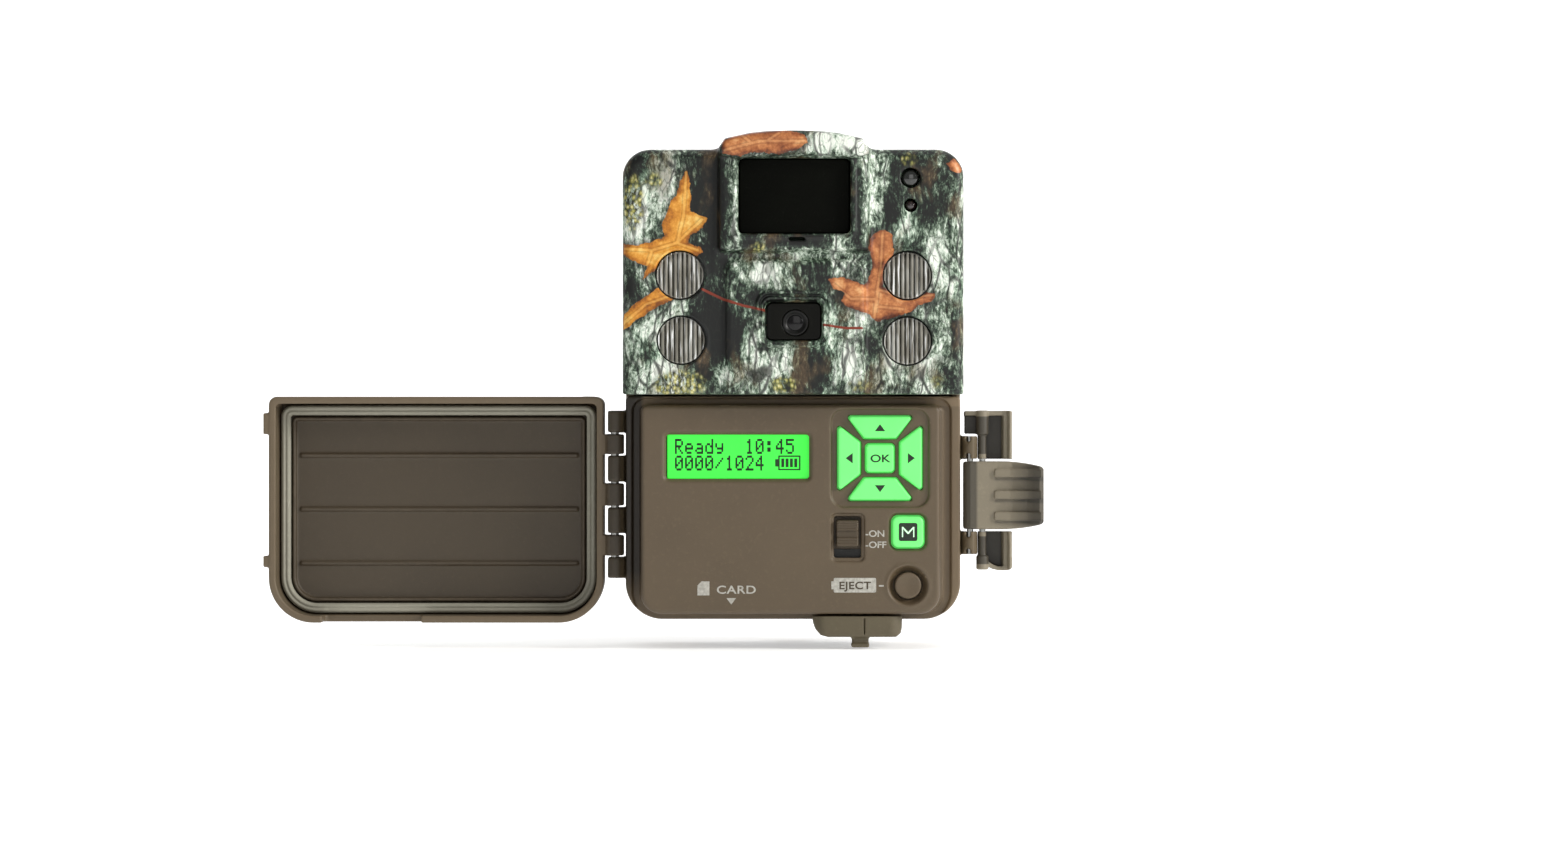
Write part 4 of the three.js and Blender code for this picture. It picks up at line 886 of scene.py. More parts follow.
# printed legends
YP = -53.0
decal("battery_tag", [rounded(9.85, 20.15, 6.8, 10.35, 0.35), [(9.3, 7.6), (9.9, 7.6), (9.9, 9.5), (9.3, 9.5)], [(20.8, 8.25), (22.0, 8.25), (22.0, 8.6), (20.8, 8.6)]], YP, LEGEND, "camera", 0.03)
TAGINK = moulded("tag_letters", (66, 56, 42), 0.55, wear=False)
lettering("eject_print", "EJECT", 15.0, 7.65, 1.85, YP - 0.035, TAGINK, "camera", wide=1.16, align="CENTER", spacing=1.05, thick=0.02, bold=0.05)
lettering("on_print", "-ON", 17.55, 20.35, 1.6, YP, LEGEND, "camera", wide=1.12, thick=0.03, bold=0.04)
lettering("off_print", "-OFF", 17.55, 17.65, 1.6, YP, LEGEND, "camera", wide=1.12, thick=0.03, bold=0.04)
lettering("card_print", "CARD", -18.6, 6.55, 2.0, YP, LEGEND, "camera", wide=1.25, thick=0.03, spacing=1.06, bold=0.04)
decal("card_icon", [[(-23.2, 6.1), (-20.3, 6.1), (-20.3, 9.5), (-22.2, 9.5), (-23.2, 8.5)], arrow(-15.0, 4.75, 1.15, "down")], YP, LEGEND, "camera", 0.03)

# ================================================================ switch, eject button
g = Grid(9.2, 17.2, -53.7, -48.9, 17.3, 25.8, 0.13)
x, y, z = g.x, g.y, g.z
F = ext(rr(x, z, 10.55, 15.85, 17.95, 24.35, 0.45), y, -53.7, -50.3, 0.35, 0.1)
F = cut(F, ext(rr(x, z, 9, 18, 20.15, 21.75, 0.1), y, -60, -53.15), 0.3)
for zc in (18.9, 19.5, 22.5, 23.1, 23.7):
    F = cut(F, ext(rr(x, z, 9, 18, zc - 0.1, zc + 0.1, 0.05), y, -60, -53.55), 0.15)
F = np.minimum(F, ext(rr(x, z, 9.25, 17.15, 17.35, 25.75, 0.3), y, -50.5, -50.1, 0.1, 0.1))
F = np.minimum(F, ext(rr(x, z, 12.5, 13.9, 20.2, 22.2, 0.2), y, -50.2, -48.9, 0.1, 0.1))
shell("slide_switch_knob", F, g, BROWN_DEEP, "power_switch_knob", ["power_switch_knob"])

g = Grid(23.9, 31.9, -53.3, -44.2, 4.5, 12.5, 0.15)
x, y, z = g.x, g.y, g.z
cap = circ(x, z, *EJECT, 3.2)
F = ext(cap, y, -53.25, -50.2, 0.5, 0.1)
# the cap is dished: a shallow sphere is taken out of its face
F = cut(F, (np.sqrt((x - EJECT[0]) ** 2 + (z - EJECT[1]) ** 2 + (y + 63.2) ** 2) - 10.25).astype(F32), 0.4)
F = np.minimum(F, ext(circ(x, z, *EJECT, 4.0), y, -50.3, -49.5, 0.15, 0.15))
F = smin(F, ext(circ(x, z, *EJECT, 1.5), y, -49.7, -44.2, 0.1, 0.3), 0.3)
shell("eject_button_cap", F, g, BROWN, "eject_button", ["eject_button"])

# ================================================================ windows of the front
def smoked(name, rgb, rough, coat=1.0, spec=0.5):
    m, t, b = material(name, srgb(*rgb), rough, 0.0, Coat_Weight=coat, Coat_Roughness=0.04, Specular_IOR_Level=spec)
    N = Net(t)
    base = srgb(*rgb)
    N.to(N.ramp(N.noise(60, 4), [(0.3, tuple(c * 0.7 for c in base[:3]) + (1,)), (0.7, tuple(c * 1.3 for c in base[:3]) + (1,))]), b.inputs["Base Color"])
    N.bump(N.noise(1100, 2), 0.06, 0.00003, b)
    return m


PIRM = smoked("sensor_film", (6, 7, 4), 0.5, 0.0, 0.05)
LENSM = smoked("lens_window_pane", (12, 12, 8), 0.3, 0.0, 0.12)
BARREL = smoked("lens_barrel_black", (8, 8, 6), 0.4, 0.0, 0.3)
GLASS = smoked("lens_glass", (7, 6, 7), 0.12, 0.0, 0.35)

# the sensor window is a thin moulded sheet, slightly bowed outwards, with the rings of a Fresnel lens
g = Grid(-15.0, 15.4, -59.6, -57.7, 92.0, 113.0, 0.17)
x, y, z = g.x, g.y, g.z
bow = 0.75 * np.clip(1 - ((x - 0.3) / 13.6) ** 2, 0, 1)
plate = rr(x, z, -13.0, 13.6, 93.7, 111.5, 1.2)
front = -58.75 - bow
lens = np.zeros((1, 1, 1), F32)
fres = (0.035 * np.abs(np.mod(np.hypot(np.mod(x - 0.3 + 4.45, 8.9) - 4.45, np.mod(z - 93.7, 8.9) - 4.45), 0.9) - 0.45)).astype(F32)
F = np.maximum(np.maximum(plate, front + fres - y), y - (-57.8)).astype(F32)
F = np.minimum(F, ext(rr(x, z, -14.9, 15.3, 93.1, 112.9, 1.2), y, -58.5, -57.75, 0.1, 0.1))
shell("motion_sensor_window", F, g, PIRM, "camera", ["pir_window"])

# lens window: dark pane with a round clear spot, and the lens behind and in it
lx, lz = LENS
g = Grid(lx - 6.7, lx + 6.7, -58.9, -57.6, lz - 4.5, lz + 4.5, 0.15)
x, y, z = g.x, g.y, g.z
F = ext(rr(x, z, lx - 6.5, lx + 6.6, lz - 4.4, lz + 4.45, 1.4), y, -58.75, -57.7, 0.2, 0.1)
eye = (0.5, 72.1)
F = cut(F, ext(circ(x, z, *eye, 3.25), y, -60, -58.35), 0.15)
shell("lens_pane", F, g, LENSM, "camera", ["lens_window"])


def lathe(name, prof, x, z, mat, body, n=72, replaces=()):
    """Turned about a line along Y: profile of (radius, y), from the axis and back to it."""
    v, f = [], []
    k = len(prof)
    for i in range(n):
        a = 2 * math.pi * i / n
        for r, yy in prof:
            v.append((x + r * math.cos(a), yy, z + r * math.sin(a)))
    for i in range(n):
        for j in range(k - 1):
            a, b, c, d = i * k + j, i * k + j + 1, ((i + 1) % n) * k + j + 1, ((i + 1) % n) * k + j
            f.append([a, d, c, b])
    o = mesh_of(name, place(np.array(v)), f)
    import bmesh
    bm = bmesh.new()
    bm.from_mesh(o.data)
    bmesh.ops.remove_doubles(bm, verts=bm.verts, dist=1e-7)
    bmesh.ops.recalc_face_normals(bm, faces=bm.faces)
    bm.to_mesh(o.data)
    bm.free()
    return dress(o, mat, body, replaces)


ringp = [(3.1, -58.45), (3.1, -58.62), (2.9, -58.7), (2.55, -58.66), (2.4, -58.5), (2.4, -58.4), (2.0, -58.42), (1.95, -58.36)]
lathe("lens_ring", ringp + [(0, -58.36), (0, -58.3), (3.1, -58.3), (3.1, -58.45)], eye[0], eye[1], BARREL, "camera")
glass = [(0.0, -58.62)] + [(1.9 * t, -58.62 + 0.22 * t * t) for t in np.linspace(0.1, 1, 9)] + [(1.9, -58.37), (0, -58.37)]
lathe("lens_front_glass", glass, eye[0], eye[1], GLASS, "camera")

# infra-red windows: clear moulded discs with upright ribs
IRM, _t, _b = material("clear_ribbed_moulding", srgb(112, 110, 100), 0.12, 0.0, Coat_Weight=0.7, Coat_Roughness=0.05)
_N = Net(_t)
_soft = _N.noise(1.0, 3, 0.6, vec=_N.map((190, 190, 70)))
# painted reflection: bright near-white vertical streaks along the ribs
_glint_streak = _N.noise(1.0, 2, 0.6, vec=_N.map((1500, 1500, 120)))
_col = _N.ramp(_soft, [(0.3, srgb(98, 94, 84)), (0.52, srgb(140, 137, 127)), (0.7, srgb(184, 184, 177))])
_col = _N.mix(_N.mask(_glint_streak, 0.53, 0.66), _col, srgb(236, 238, 236))
_N.to(_N.mix(_N.attr("shade"), _col, srgb(26, 24, 17)), _b.inputs["Base Color"])
for key, (cx, cz) in IRS.items():
    g = Grid(cx - 6.0, cx + 6.0, -58.5, -55.0, cz - 6.0, cz + 6.0, 0.14)
    x, y, z = g.x, g.y, g.z
    pitch = 1.12
    rib = np.abs(np.mod(x - cx + pitch / 2, pitch) - pitch / 2)
    face = (-58.2 + 0.95 * (rib / (pitch / 2)) ** 2.4).astype(F32)
    F = np.maximum(np.maximum(circ(x, z, cx, cz, 5.65), face - y), y + 55.6).astype(F32)
    F = np.minimum(F, ext(np.abs(circ(x, z, cx, cz, 5.5)) - 0.16, y, -58.0, -55.6, 0.12, 0.1))
    v, q = nets(F, g)
    o = mesh_of(f"ribbed_window_{key}", place(v), q)
    rim = np.hypot(v[:, 0] - cx, v[:, 2] - cz)
    groove = np.abs(np.mod(v[:, 0] - cx + pitch / 2, pitch) - pitch / 2) / (pitch / 2)
    # painted shade in the grooves between the ribs and along the top, under the edge of the recess
    value_attr(o, "shade", np.clip(groove ** 4 * 1.15 + np.clip((v[:, 2] - cz - 3.6) / 2.2, 0, 1) * 0.55, 0, 1))
    dress(o, IRM, "camera", [f"ir_window_{key}"])

SENSM = smoked("light_sensor_dome", (24, 27, 22), 0.1)
dome = [(0.0, -57.9)] + [(2.05 * math.sin(a), -57.1 - 0.8 * math.cos(a)) for a in np.linspace(0.2, math.pi / 2, 8)] + [(2.1, -55.7), (0, -55.7)]
lathe("light_sensor_lens", dome, 28.4, 107.1, SENSM, "camera", replaces=["light_sensor_window"])
LEDM = smoked("indicator_lens", (30, 12, 10), 0.12)
dome = [(0.0, -58.0)] + [(1.28 * math.sin(a), -57.0 - 1.0 * math.cos(a)) for a in np.linspace(0.2, math.pi / 2, 8)] + [(1.3, -53.4), (1.85, -53.4), (1.85, -52.5), (0, -52.5)]
lathe("indicator_lamp", dome, 28.4, 100.5, LEDM, "camera", replaces=["indicator_led"])

# ================================================================ door, drawn closed, shown swung open
def door():
    g = Grid(-46.0, 42.7, -58.5, -43.6, -0.9, 54.4, 0.32)
    x, y, z = g.x, g.y, g.z
    F = ext(rr(x, z, -40.7, 41.2, -0.9, 54.4, (11, 11, 2, 2)), y, -58.5, -46.35, 2.4, 0.35)
    # raised field on the outside
    F = cut(F, ext(np.abs(rr(x, z, -35.5, 36.0, 4.4, 49.4, (7, 7, 2, 2))) - 0.35, y, -60, -58.15), 0.3)
    F = cut(F, ext(rr(x, z, -39.0, 39.5, 0.8, 52.7, (9.3, 9.3, 1.2, 1.2)), y, -56.5, -40, 0.8))
    # wall that holds the seal from the inside, and stiffening ribs on the floor
    F = smin(F, ext(np.abs(rr(x, z, -35.4, 35.9, 4.5, 49.0, (5.6, 5.6, 0.8, 0.8))) - 0.4, y, -57, -54.6, 0, 0.3), 0.5)
    for zz in (13.4, 26.7, 40.0):
        F = smin(F, ext(rr(x, z, -34.0, 34.5, zz - 0.45, zz + 0.45, 0.4), y, -57, -55.9, 0, 0.3), 0.5)
    F = cut(F, ext(rr(x, y, 3.9, 28.2, -52.9, -40, 1.0), z, -3, 1.5), 0.2)
    for a, b in ((12.7, 15.5), (45.2, 50.4)):
        F = smin(F, ext(pol(x, y, [(40.6, -46.6), (42.5, -46.6), (42.5, -47.7), (41.8, -47.9), (40.8, -48.9)], 0.04), z, a, b, 0.2, 0.2), 0.3)
    # moulded thumb bump on the upper edge next to the hinge
    F = smin(F, ext(rr(x, z, -38.6, -35.4, 53.4, 54.38, 0.4), y, -55.5, -47.4, 0.3, 0.3), 0.3)
    for a, b in ((15.6, 20.6), (27.8, 33.2), (40.4, 45.2)):
        arm = pol(x, y, [(-40.0, -52.2), (-40.0, -46.8), (-41.4, -46.6), (-43.5, -46.0), (-44.6, -47.2), (-41.4, -52.2)], 0.15)
        k = smin(ext(arm, z, a, b, 0.2, 0.2), ext(circ(x, y, -43.5, -46, 2.25), z, a, b, 0.25, 0.25), 0.4)
        F = smin(F, k, 0.3)
    F = cut(F, ext(circ(x, y, -43.5, -46, 1.25), z, 9, 52))
    v, q = nets(F, g)
    o = mesh_of("door_moulding", place(v, True), q)
    # the print is only on the outer face; it ends on the rounded edge
    film = np.clip((-57.15 - v[:, 1]) / 0.4, 0, 1)
    vv = v.copy()
    vv[:, 0] = -v[:, 0] * 0.98 + 1.5
    vv[:, 2] = v[:, 2] + 58.5
    vv[:, 1] = -58.5
    camo_attrs(o, vv, stems=[[(-60, 0), (-61, 0)]])
    value_attr(o, "film", film)
    # painted shade on the inside of the door and on its hinge knuckles; painted light on the rim face that meets the
    # body
    inner = np.clip((-v[:, 1] - 53.0) / 1.5, 0, 1) * (np.abs(v[:, 0] - 0.25) < 38.9) * (np.abs(v[:, 2] - 26.8) < 25.2) * (v[:, 1] > -57.2)
    value_attr(o, "shade", np.maximum(0.5 * inner, 0.7 * np.clip((-41.0 - v[:, 0]) / 0.8, 0, 1)))
    value_attr(o, "painted_light", 0.25 * (v[:, 1] > -47.2) * (v[:, 0] > -41.0))
    return dress(o, DOORM, "door", ["door"])


def film_over_plastic():
    """The moulded brown, with the camouflage where the film attribute says."""
    m = BROWN_DOOR.copy()
    m.name = "door_skin"
    t = m.node_tree
    out = next(n for n in t.nodes if n.type == "OUTPUT_MATERIAL")
    b1 = next(n for n in t.nodes if n.type == "BSDF_PRINCIPLED")
    # copy the camouflage network beside it
    src = CAMO.node_tree
    made = {}
    for n in src.nodes:
        if n.type == "OUTPUT_MATERIAL":
            continue
        c = t.nodes.new(n.bl_idname)
        for p in n.bl_rna.properties:
            if not p.is_readonly and p.identifier not in ("name", "location", "parent", "select", "width", "height", "label", "dimensions", "location_absolute"):
                try:
                    setattr(c, p.identifier, getattr(n, p.identifier))
                except Exception:
                    pass
        if n.type == "VALTORGB":
            c.color_ramp.interpolation = n.color_ramp.interpolation
            e = c.color_ramp.elements
            while len(e) > 1:
                e.remove(e[-1])
            for i, s in enumerate(n.color_ramp.elements):
                k = e[0] if i == 0 else e.new(s.position)
                k.position, k.color = s.position, s.color
        for a, bb in zip(n.inputs, c.inputs):
            if hasattr(a, "default_value"):
                try:
                    bb.default_value = a.default_value
                except Exception:
                    pass
        made[n.name] = c
    for l in src.links:
        if l.from_node.name in made and l.to_node.name in made:
            fo = list(l.from_node.outputs).index(l.from_socket)
            ti = list(l.to_node.inputs).index(l.to_socket)
            t.links.new(made[l.from_node.name].outputs[fo], made[l.to_node.name].inputs[ti])
    b2 = next(c for c in made.values() if c.type == "BSDF_PRINCIPLED")
    film = t.nodes.new("ShaderNodeAttribute")
    film.attribute_name = "film"
    col = t.nodes.new("ShaderNodeMix")
    col.data_type = "RGBA"
    t.links.new(film.outputs["Fac"], col.inputs["Factor"])
    t.links.new(b1.inputs["Base Color"].links[0].from_socket, col.inputs[6])
    t.links.new(b2.inputs["Base Color"].links[0].from_socket, col.inputs[7])
    t.links.new(col.outputs[2], b1.inputs["Base Color"])
    t.nodes.remove(b2)
    return m


DOORM = film_over_plastic()
door()

g = Grid(-38.7, 39.2, -56.2, -53.4, 1.1, 52.4, 0.3)
x, y, z = g.x, g.y, g.z
mid = rr(x, z, -37.4, 37.9, 2.4, 51.1, (7.7, 7.7, 1.6, 1.6))
F = (np.hypot(mid, (y + 54.85) * 1.0) - 1.22).astype(F32)
F = smin(F, ext(np.abs(mid) - 1.05, y, -56.2, -54.9, 0.1, 0.2), 0.3)
F = cut(F, ext(np.abs(mid) - 0.22, y, -54.05, -50), 0.3)
shell("door_seal", F, g, RUBBER, "door", ["door_gasket"], swing=True)

# ================================================================ latch
P1, P2 = (43.3, -45.2), (46.3, -45.2)


LEVERM = moulded("latch_moulded", (130, 121, 103), 0.46, vary=0.06)


def latch():
    g = Grid(41.5, 61.5, -51.4, -43.4, 21.9, 38.7, 0.2)
    x, y, z = g.x, g.y, g.z
    prof = [(43.3, -46.85), (46.3, -46.9), (50.0, -46.95), (53.6, -47.2), (57.0, -48.5), (60.0, -50.7), (60.9, -49.7), (58.0, -46.6), (54.2, -44.6), (50.3, -43.9), (46.3, -43.75), (43.3, -43.6)]
    d = pol(x, y, prof, 0.15)
    d = smin(d, circ(x, y, *P1, 1.75), 0.5)
    # the flared end narrows a little towards its tip
    side = (np.abs(z - 30.3) - (8.3 - 1.5 * np.clip((x - 51.0) / 10.4, 0, 1) ** 2) + 0 * y).astype(F32)
    F = -smin(-d, -side, 0.8)
    F = np.maximum(F, rr(x, z, 38.0, 61.2, 22.0, 38.6, 1.6)).astype(F32)
    # three finger ribs, rounded at the root and fading into the tip
    for zc in (25.2, 30.4, 35.7):
        spine = pol(x, y, [(49.3, -47.65), (53.0, -48.15), (57.2, -49.65), (60.3, -51.45), (60.2, -50.0), (57, -47.5), (53, -46.3), (49.3, -46.3)], 0.12)
        bar = np.maximum(spine, rr(x, z, 48.9, 66, zc - 1.05, zc + 1.05, 1.0)).astype(F32)
        F = smin(F, bar, 0.25)
    for p in (P1, P2):
        F = cut(F, ext(circ(x, y, *p, 1.0), z, 20, 40), 0.2)
    v, q = nets(F, g)
    o = mesh_of("latch_lever_arm", place(v), q)
    # painted shade on the hub, on the tip that curls towards the front, and under each finger rib
    front = v[:, 1] < -45.5
    under = sum(np.exp(-((v[:, 2] - (zc - 1.35)) / 0.42) ** 2) for zc in (25.2, 30.4, 35.7)) * np.clip((v[:, 0] - 49.0) / 0.5, 0, 1) * front
    value_attr(o, "shade", np.clip(0.8 * np.clip((45.2 - v[:, 0]) / 0.6, 0, 1) * front + 0.8 * np.clip((v[:, 0] - 53.0) / 5.5, 0, 1) * front + 0.6 * under, 0, 1))
    dress(o, LEVERM, "latch_lever", ["latch_lever"])
    for name, a, b, c, e in (("upper", 39.1, 50.9, 45.1, 50.9), ("lower", 12.2, 21.5, 12.2, 15.5)):
        g = Grid(41.7, 53.6, -47.2, -41.4, a, b, 0.17)
        x, y, z = g.x, g.y, g.z
        px, py = P2
        # bottom of the channel, then the curved hook that folds forward at its outer edge
        plate = pol(x, y, [(px - 0.9, py + 3.5), (px - 0.9, py + 2.7), (px + 4.7, py + 2.55), (px + 5.15, py + 1.8), (px + 5.25, py - 0.2), (px + 6.15, py - 0.4), (px + 6.45, py - 1.5), (px + 6.75, py - 1.8), (px + 7.1, py - 1.0), (px + 7.25, py + 2.2), (px + 6.4, py + 3.5)], 0.12)
        if name == "upper":
            outline = rr(x, z, 41.9, 53.5, a, 50.7, 0.5)
            tail = [(41.9, 51.0), (41.9, 45.2), (44.9, 45.2), (44.9, 39.0), (53.6, 39.0), (53.6, 50.5), (49.0, 51.0)]
        else:
            tail = [(44.9, 21.6), (44.9, 15.4), (45.2, 14.8), (48.6, 12.7), (50.0, 12.2), (52.4, 12.2), (53.2, 12.8), (53.5, 14.0), (53.5, 21.6)]
        shape = pol(x, z, tail, 0.25)
        F = np.maximum(np.maximum(plate, shape), np.maximum(a + 0.05 - z, z - b + 0.05)).astype(F32)
        if name == "upper":
            wing = np.maximum(rr(x, y, 42.0, px, py + 2.7, py + 3.5, 0.3), rr(x, z, 42.0, px + 1, 45.3, 50.7, 0.3)).astype(F32)
            F = smin(F, wing, 0.3)
            arch = pol(x, y, [(42.1, py + 3.3), (42.1, py + 0.3), (46.0, py - 0.3), (50.0, py - 0.2), (52.5, py - 0.2), (52.75, py - 1.5), (53.1, py - 1.0), (53.3, py + 3.3)], 0.12)
            wall = ext(arch, z, 49.75, 50.85, 0.35, 0.35)
        else:
            arch = pol(x, y, [(px - 1.0, py + 3.3), (px - 1.2, py + 0.3), (px + 1.0, py - 0.3), (px + 6.4, py - 0.2), (px + 6.65, py - 1.5), (px + 6.95, py - 1.0), (px + 7.0, py + 3.3)], 0.12)
            band = np.maximum(shape, -(shape + 0.95)).astype(F32)
            band = np.maximum(band, z - 14.9).astype(F32)
            wall = np.maximum(arch, band).astype(F32)
        F = smin(F, wall, 0.5)
        eye2 = pol(x, y, [(px - 1.1, py + 2.9), (px - 1.1, py), (px + 1.1, py), (px + 1.1, py + 2.9)], 0.2)
        sleeve = ext(circ(x, y, px, py, 0.93), z, a + 0.1, b - 0.1, 0.2, 0.2)
        F = smin(F, sleeve, 0.2)
        F = smin(F, smin(ext(circ(x, y, px, py, 1.45), z, c, e, 0.3, 0.3), ext(eye2, z, c, e, 0.3, 0.3), 0.4), 0.4)
        v, q = nets(F, g)
        o = mesh_of(f"latch_hook_{name}_moulding", place(v), q)
        # painted shade deep in the hook's channel and on the eye tube inside it
        deep = np.clip((v[:, 1] - (py + 0.1)) / 1.4, 0, 1) * np.clip((px + 5.0 - v[:, 0]) / 0.4, 0, 1) * (v[:, 1] < py + 3.1)
        tube = np.clip((px + 1.9 - v[:, 0]) / 0.4, 0, 1) * (np.abs(v[:, 2] - 0.5 * (a + b)) < 0.5 * (b - a) - 1.3)
        value_attr(o, "shade", np.clip(np.maximum(1.2 * deep, 0.9 * tube), 0, 1))
        dress(o, LEVERM, "latch_hooks", [f"latch_hook_{name}"])


latch()

# ================================================================ cover of the power socket
g = Grid(4.6, 26.7, -52.2, -43.6, -6.7, 1.05, 0.17)
x, y, z = g.x, g.y, g.z
tub = pol(x, z, [(4.1, 1.6), (26.7, 1.6), (26.45, -1.6), (25.9, -2.9), (24.9, -3.6), (8.6, -3.6), (7.0, -3.2), (5.9, -2.0), (4.75, 0.2)], 0.5) + 0.0
depth = rr(x, y, 4.65, 26.65, -52.0, -44.9, (3.3, 3.3, 2.2, 2.2))
F = -smin(-tub, -depth, 0.9)
F = np.maximum(F, z - 1.0).astype(F32)
F = cut(F, np.maximum(-46.4 - y, -0.4 - z).astype(F32), 0.1)
F = cut(F, ext(np.abs(x - 17.3) - 0.12 + 0 * y, z, -3.4, 0.5) + np.maximum(y + 51.2, 0), 0.25)
F = smin(F, ext(rr(x, y, 14.3, 18.4, -50.5, -48.7, 0.7), z, -6.2, -2.8, 0.3, 0.1), 0.8)
F = smin(F, ext(rr(x, z, 14.15, 18.55, -6.65, -5.6, 0.45), y, -51.1, -48.1, 0.4, 0.4), 0.4)
F = smin(F, ext(rr(x, z, 13.2, 18.2, -1.6, -0.5, 0.4), y, -45.6, -43.7, 0.1, 0.4), 0.3)
shell("socket_cover", F, g, BOOT, "port_cover", ["port_cover"])

# ================================================================ rear housing
KNUCKLES = [(10, 15.2), (21, 27.4), (33.6, 40), (45.6, 51)]
EARS = [(15.8, 21.5), (39.1, 44.8)]
BROWN_REAR = moulded("rear_moulded", (92, 79, 58), 0.5, vary=0.09, grain=1.2)


def rear_housing():
    g = Grid(-45.6, 45.4, -48.4, -0.3, 0.0, 113.75, 0.44)
    x, y, z = g.x, g.y, g.z
    outline = rr(x, z, -40.9, 40.9, 0, 113.75, (9, 9, 6.8, 6.8))
    F = ext(outline, y, -44.0, -8.2, 0.3, 3.2)
    # parting line, side grips and a stepped back
    F = cut(F, ext(-outline - 0.45, y, -42.6, -41.9), 0.3)
    side = np.maximum(-(np.abs(x) - 40.4), rr(y, z, -37.5, -14.5, 15.0, 99.0, 3.0)).astype(F32)
    F = cut(F, side, 0.5)
    for k in range(9):
        zz = 26.0 + 7.75 * k
        F = smin(F, np.maximum(rr(y, z, -34.5, -17.5, zz - 1.2, zz + 1.2, 1.1), np.abs(np.abs(x) - 39.9) - 0.85).astype(F32), 0.6)
    F = cut(F, np.maximum(rr(x, z, -30.5, 30.5, 93.0, 107.5, 3.0), -8.8 - y).astype(F32), 0.5)
    # hollows: the space behind the front, and the battery bay inside it
    bay = np.maximum(rr(x, z, -25, 25, -9, 61.6, 0.5), np.abs(y + 26.3) - 17.1).astype(F32)
    hollow = ext(rr(x, z, -38.7, 38.7, 2.2, 111.55, (7, 7, 4.8, 4.8)), y, -60, -10.5, 0, 0.8)
    hollow = np.maximum(hollow, -bay).astype(F32)
    F = cut(F, hollow)
    for sx in (-1, 1):
        for zz in (17.0, 98.5):
            F = np.minimum(F, np.maximum(circ(x, z, sx * 34.4, zz, 4.2), np.abs(y + 12.4) - 2.4).astype(F32))
            F = cut(F, ext(circ(x, z, sx * 34.4, zz, 2.7), y, -11.4, 1), 0.4)
    F = cut(F, np.maximum(rr(x, y, -23.4, 23.4, -42.0, -10.4, 0.2), z - 60.0).astype(F32))
    F = cut(F, np.maximum(rr(x, z, 22.5, 26.5, 5.3, 11.7, 0.3), np.abs(y + 39.5) - 3.1).astype(F32))
    # lead-in round the mouth of the bay
    F = cut(F, np.maximum(rr(x, y, -23.9, 23.9, -42.5, -9.9, 0.7), z - 0.6).astype(F32), 0.2)
    # threaded boss
    boss = rr(x, y, -5.9, 5.9, -9.9, -0.3, (0.3, 0.3, 3.6, 3.6))
    F = smin(F, ext(boss, z, 0, 12.0, 0.4, 1.2), 1.2)
    F = cut(F, ext(circ(x, y, 0, -5.4, 4.35), z, -2, 9.6), 0.2)
    F = cut(F, np.maximum(rr(x, y, -23.4, 23.4, -42.0, -10.4, 0.2), z - 60.0).astype(F32))
    # hinge knuckles and latch ears
    arm = pol(x, y, [(-40.0, -38.6), (-41.3, -38.8), (-45.2, -44.4), (-45.2, -47.1), (-43.9, -48.1), (-42.6, -47.9), (-41.6, -47.0), (-41.25, -45.6), (-41.2, -43.8), (-40.0, -43.2)], 0.05)
    for a, b in KNUCKLES:
        F = smin(F, ext(arm, z, a, b, 0.3, 0.3), 0.4)
    F = cut(F, ext(circ(x, y, -43.5, -46, 1.3), z, 9, 52), 0.1)
    ear = pol(x, y, [(40.0, -38.2), (40.0, -43.2), (41.25, -43.8), (41.5, -45.6), (42.1, -46.6), (43.0, -47.0), (44.0, -46.9), (44.9, -46.0), (45.15, -45.0), (44.9, -44.2), (44.2, -43.65), (43.2, -43.4), (42.3, -43.25), (41.8, -42.4), (41.5, -40.6)], 0.02)
    for a, b in EARS:
        F = smin(F, ext(ear, z, a, b, 0.3, 0.3), 0.3)
        for zz in (a + 0.75, b - 0.75):
            F = cut(F, np.maximum(rr(x, z, 41.7, 43.3, zz - 0.7, zz + 0.7, 0.1), np.abs(y + 47.4) - 1.2).astype(F32), 0.1)
    F = cut(F, ext(circ(x, y, *P1, 1.1), z, 14.9, 45.6), 0.1)
    v, q = nets(F, g)
    o = mesh_of("rear_housing_moulding", place(v), q)
    # painted shade: the hinge knuckles on the left and the inside of the shell are darkened where shadow falls
    hinge = np.clip((-41.2 - v[:, 0]) / 1.0, 0, 1) * 0.72
    inside = ((np.abs(v[:, 0]) < 38.9) & (v[:, 1] < -11.0) & (v[:, 2] > 2.0) & (v[:, 2] < 111.7)) * 0.35
    value_attr(o, "shade", np.maximum(hinge, inside))
    return dress(o, BROWN_REAR, "camera", ["rear_housing"])


rear_housing()

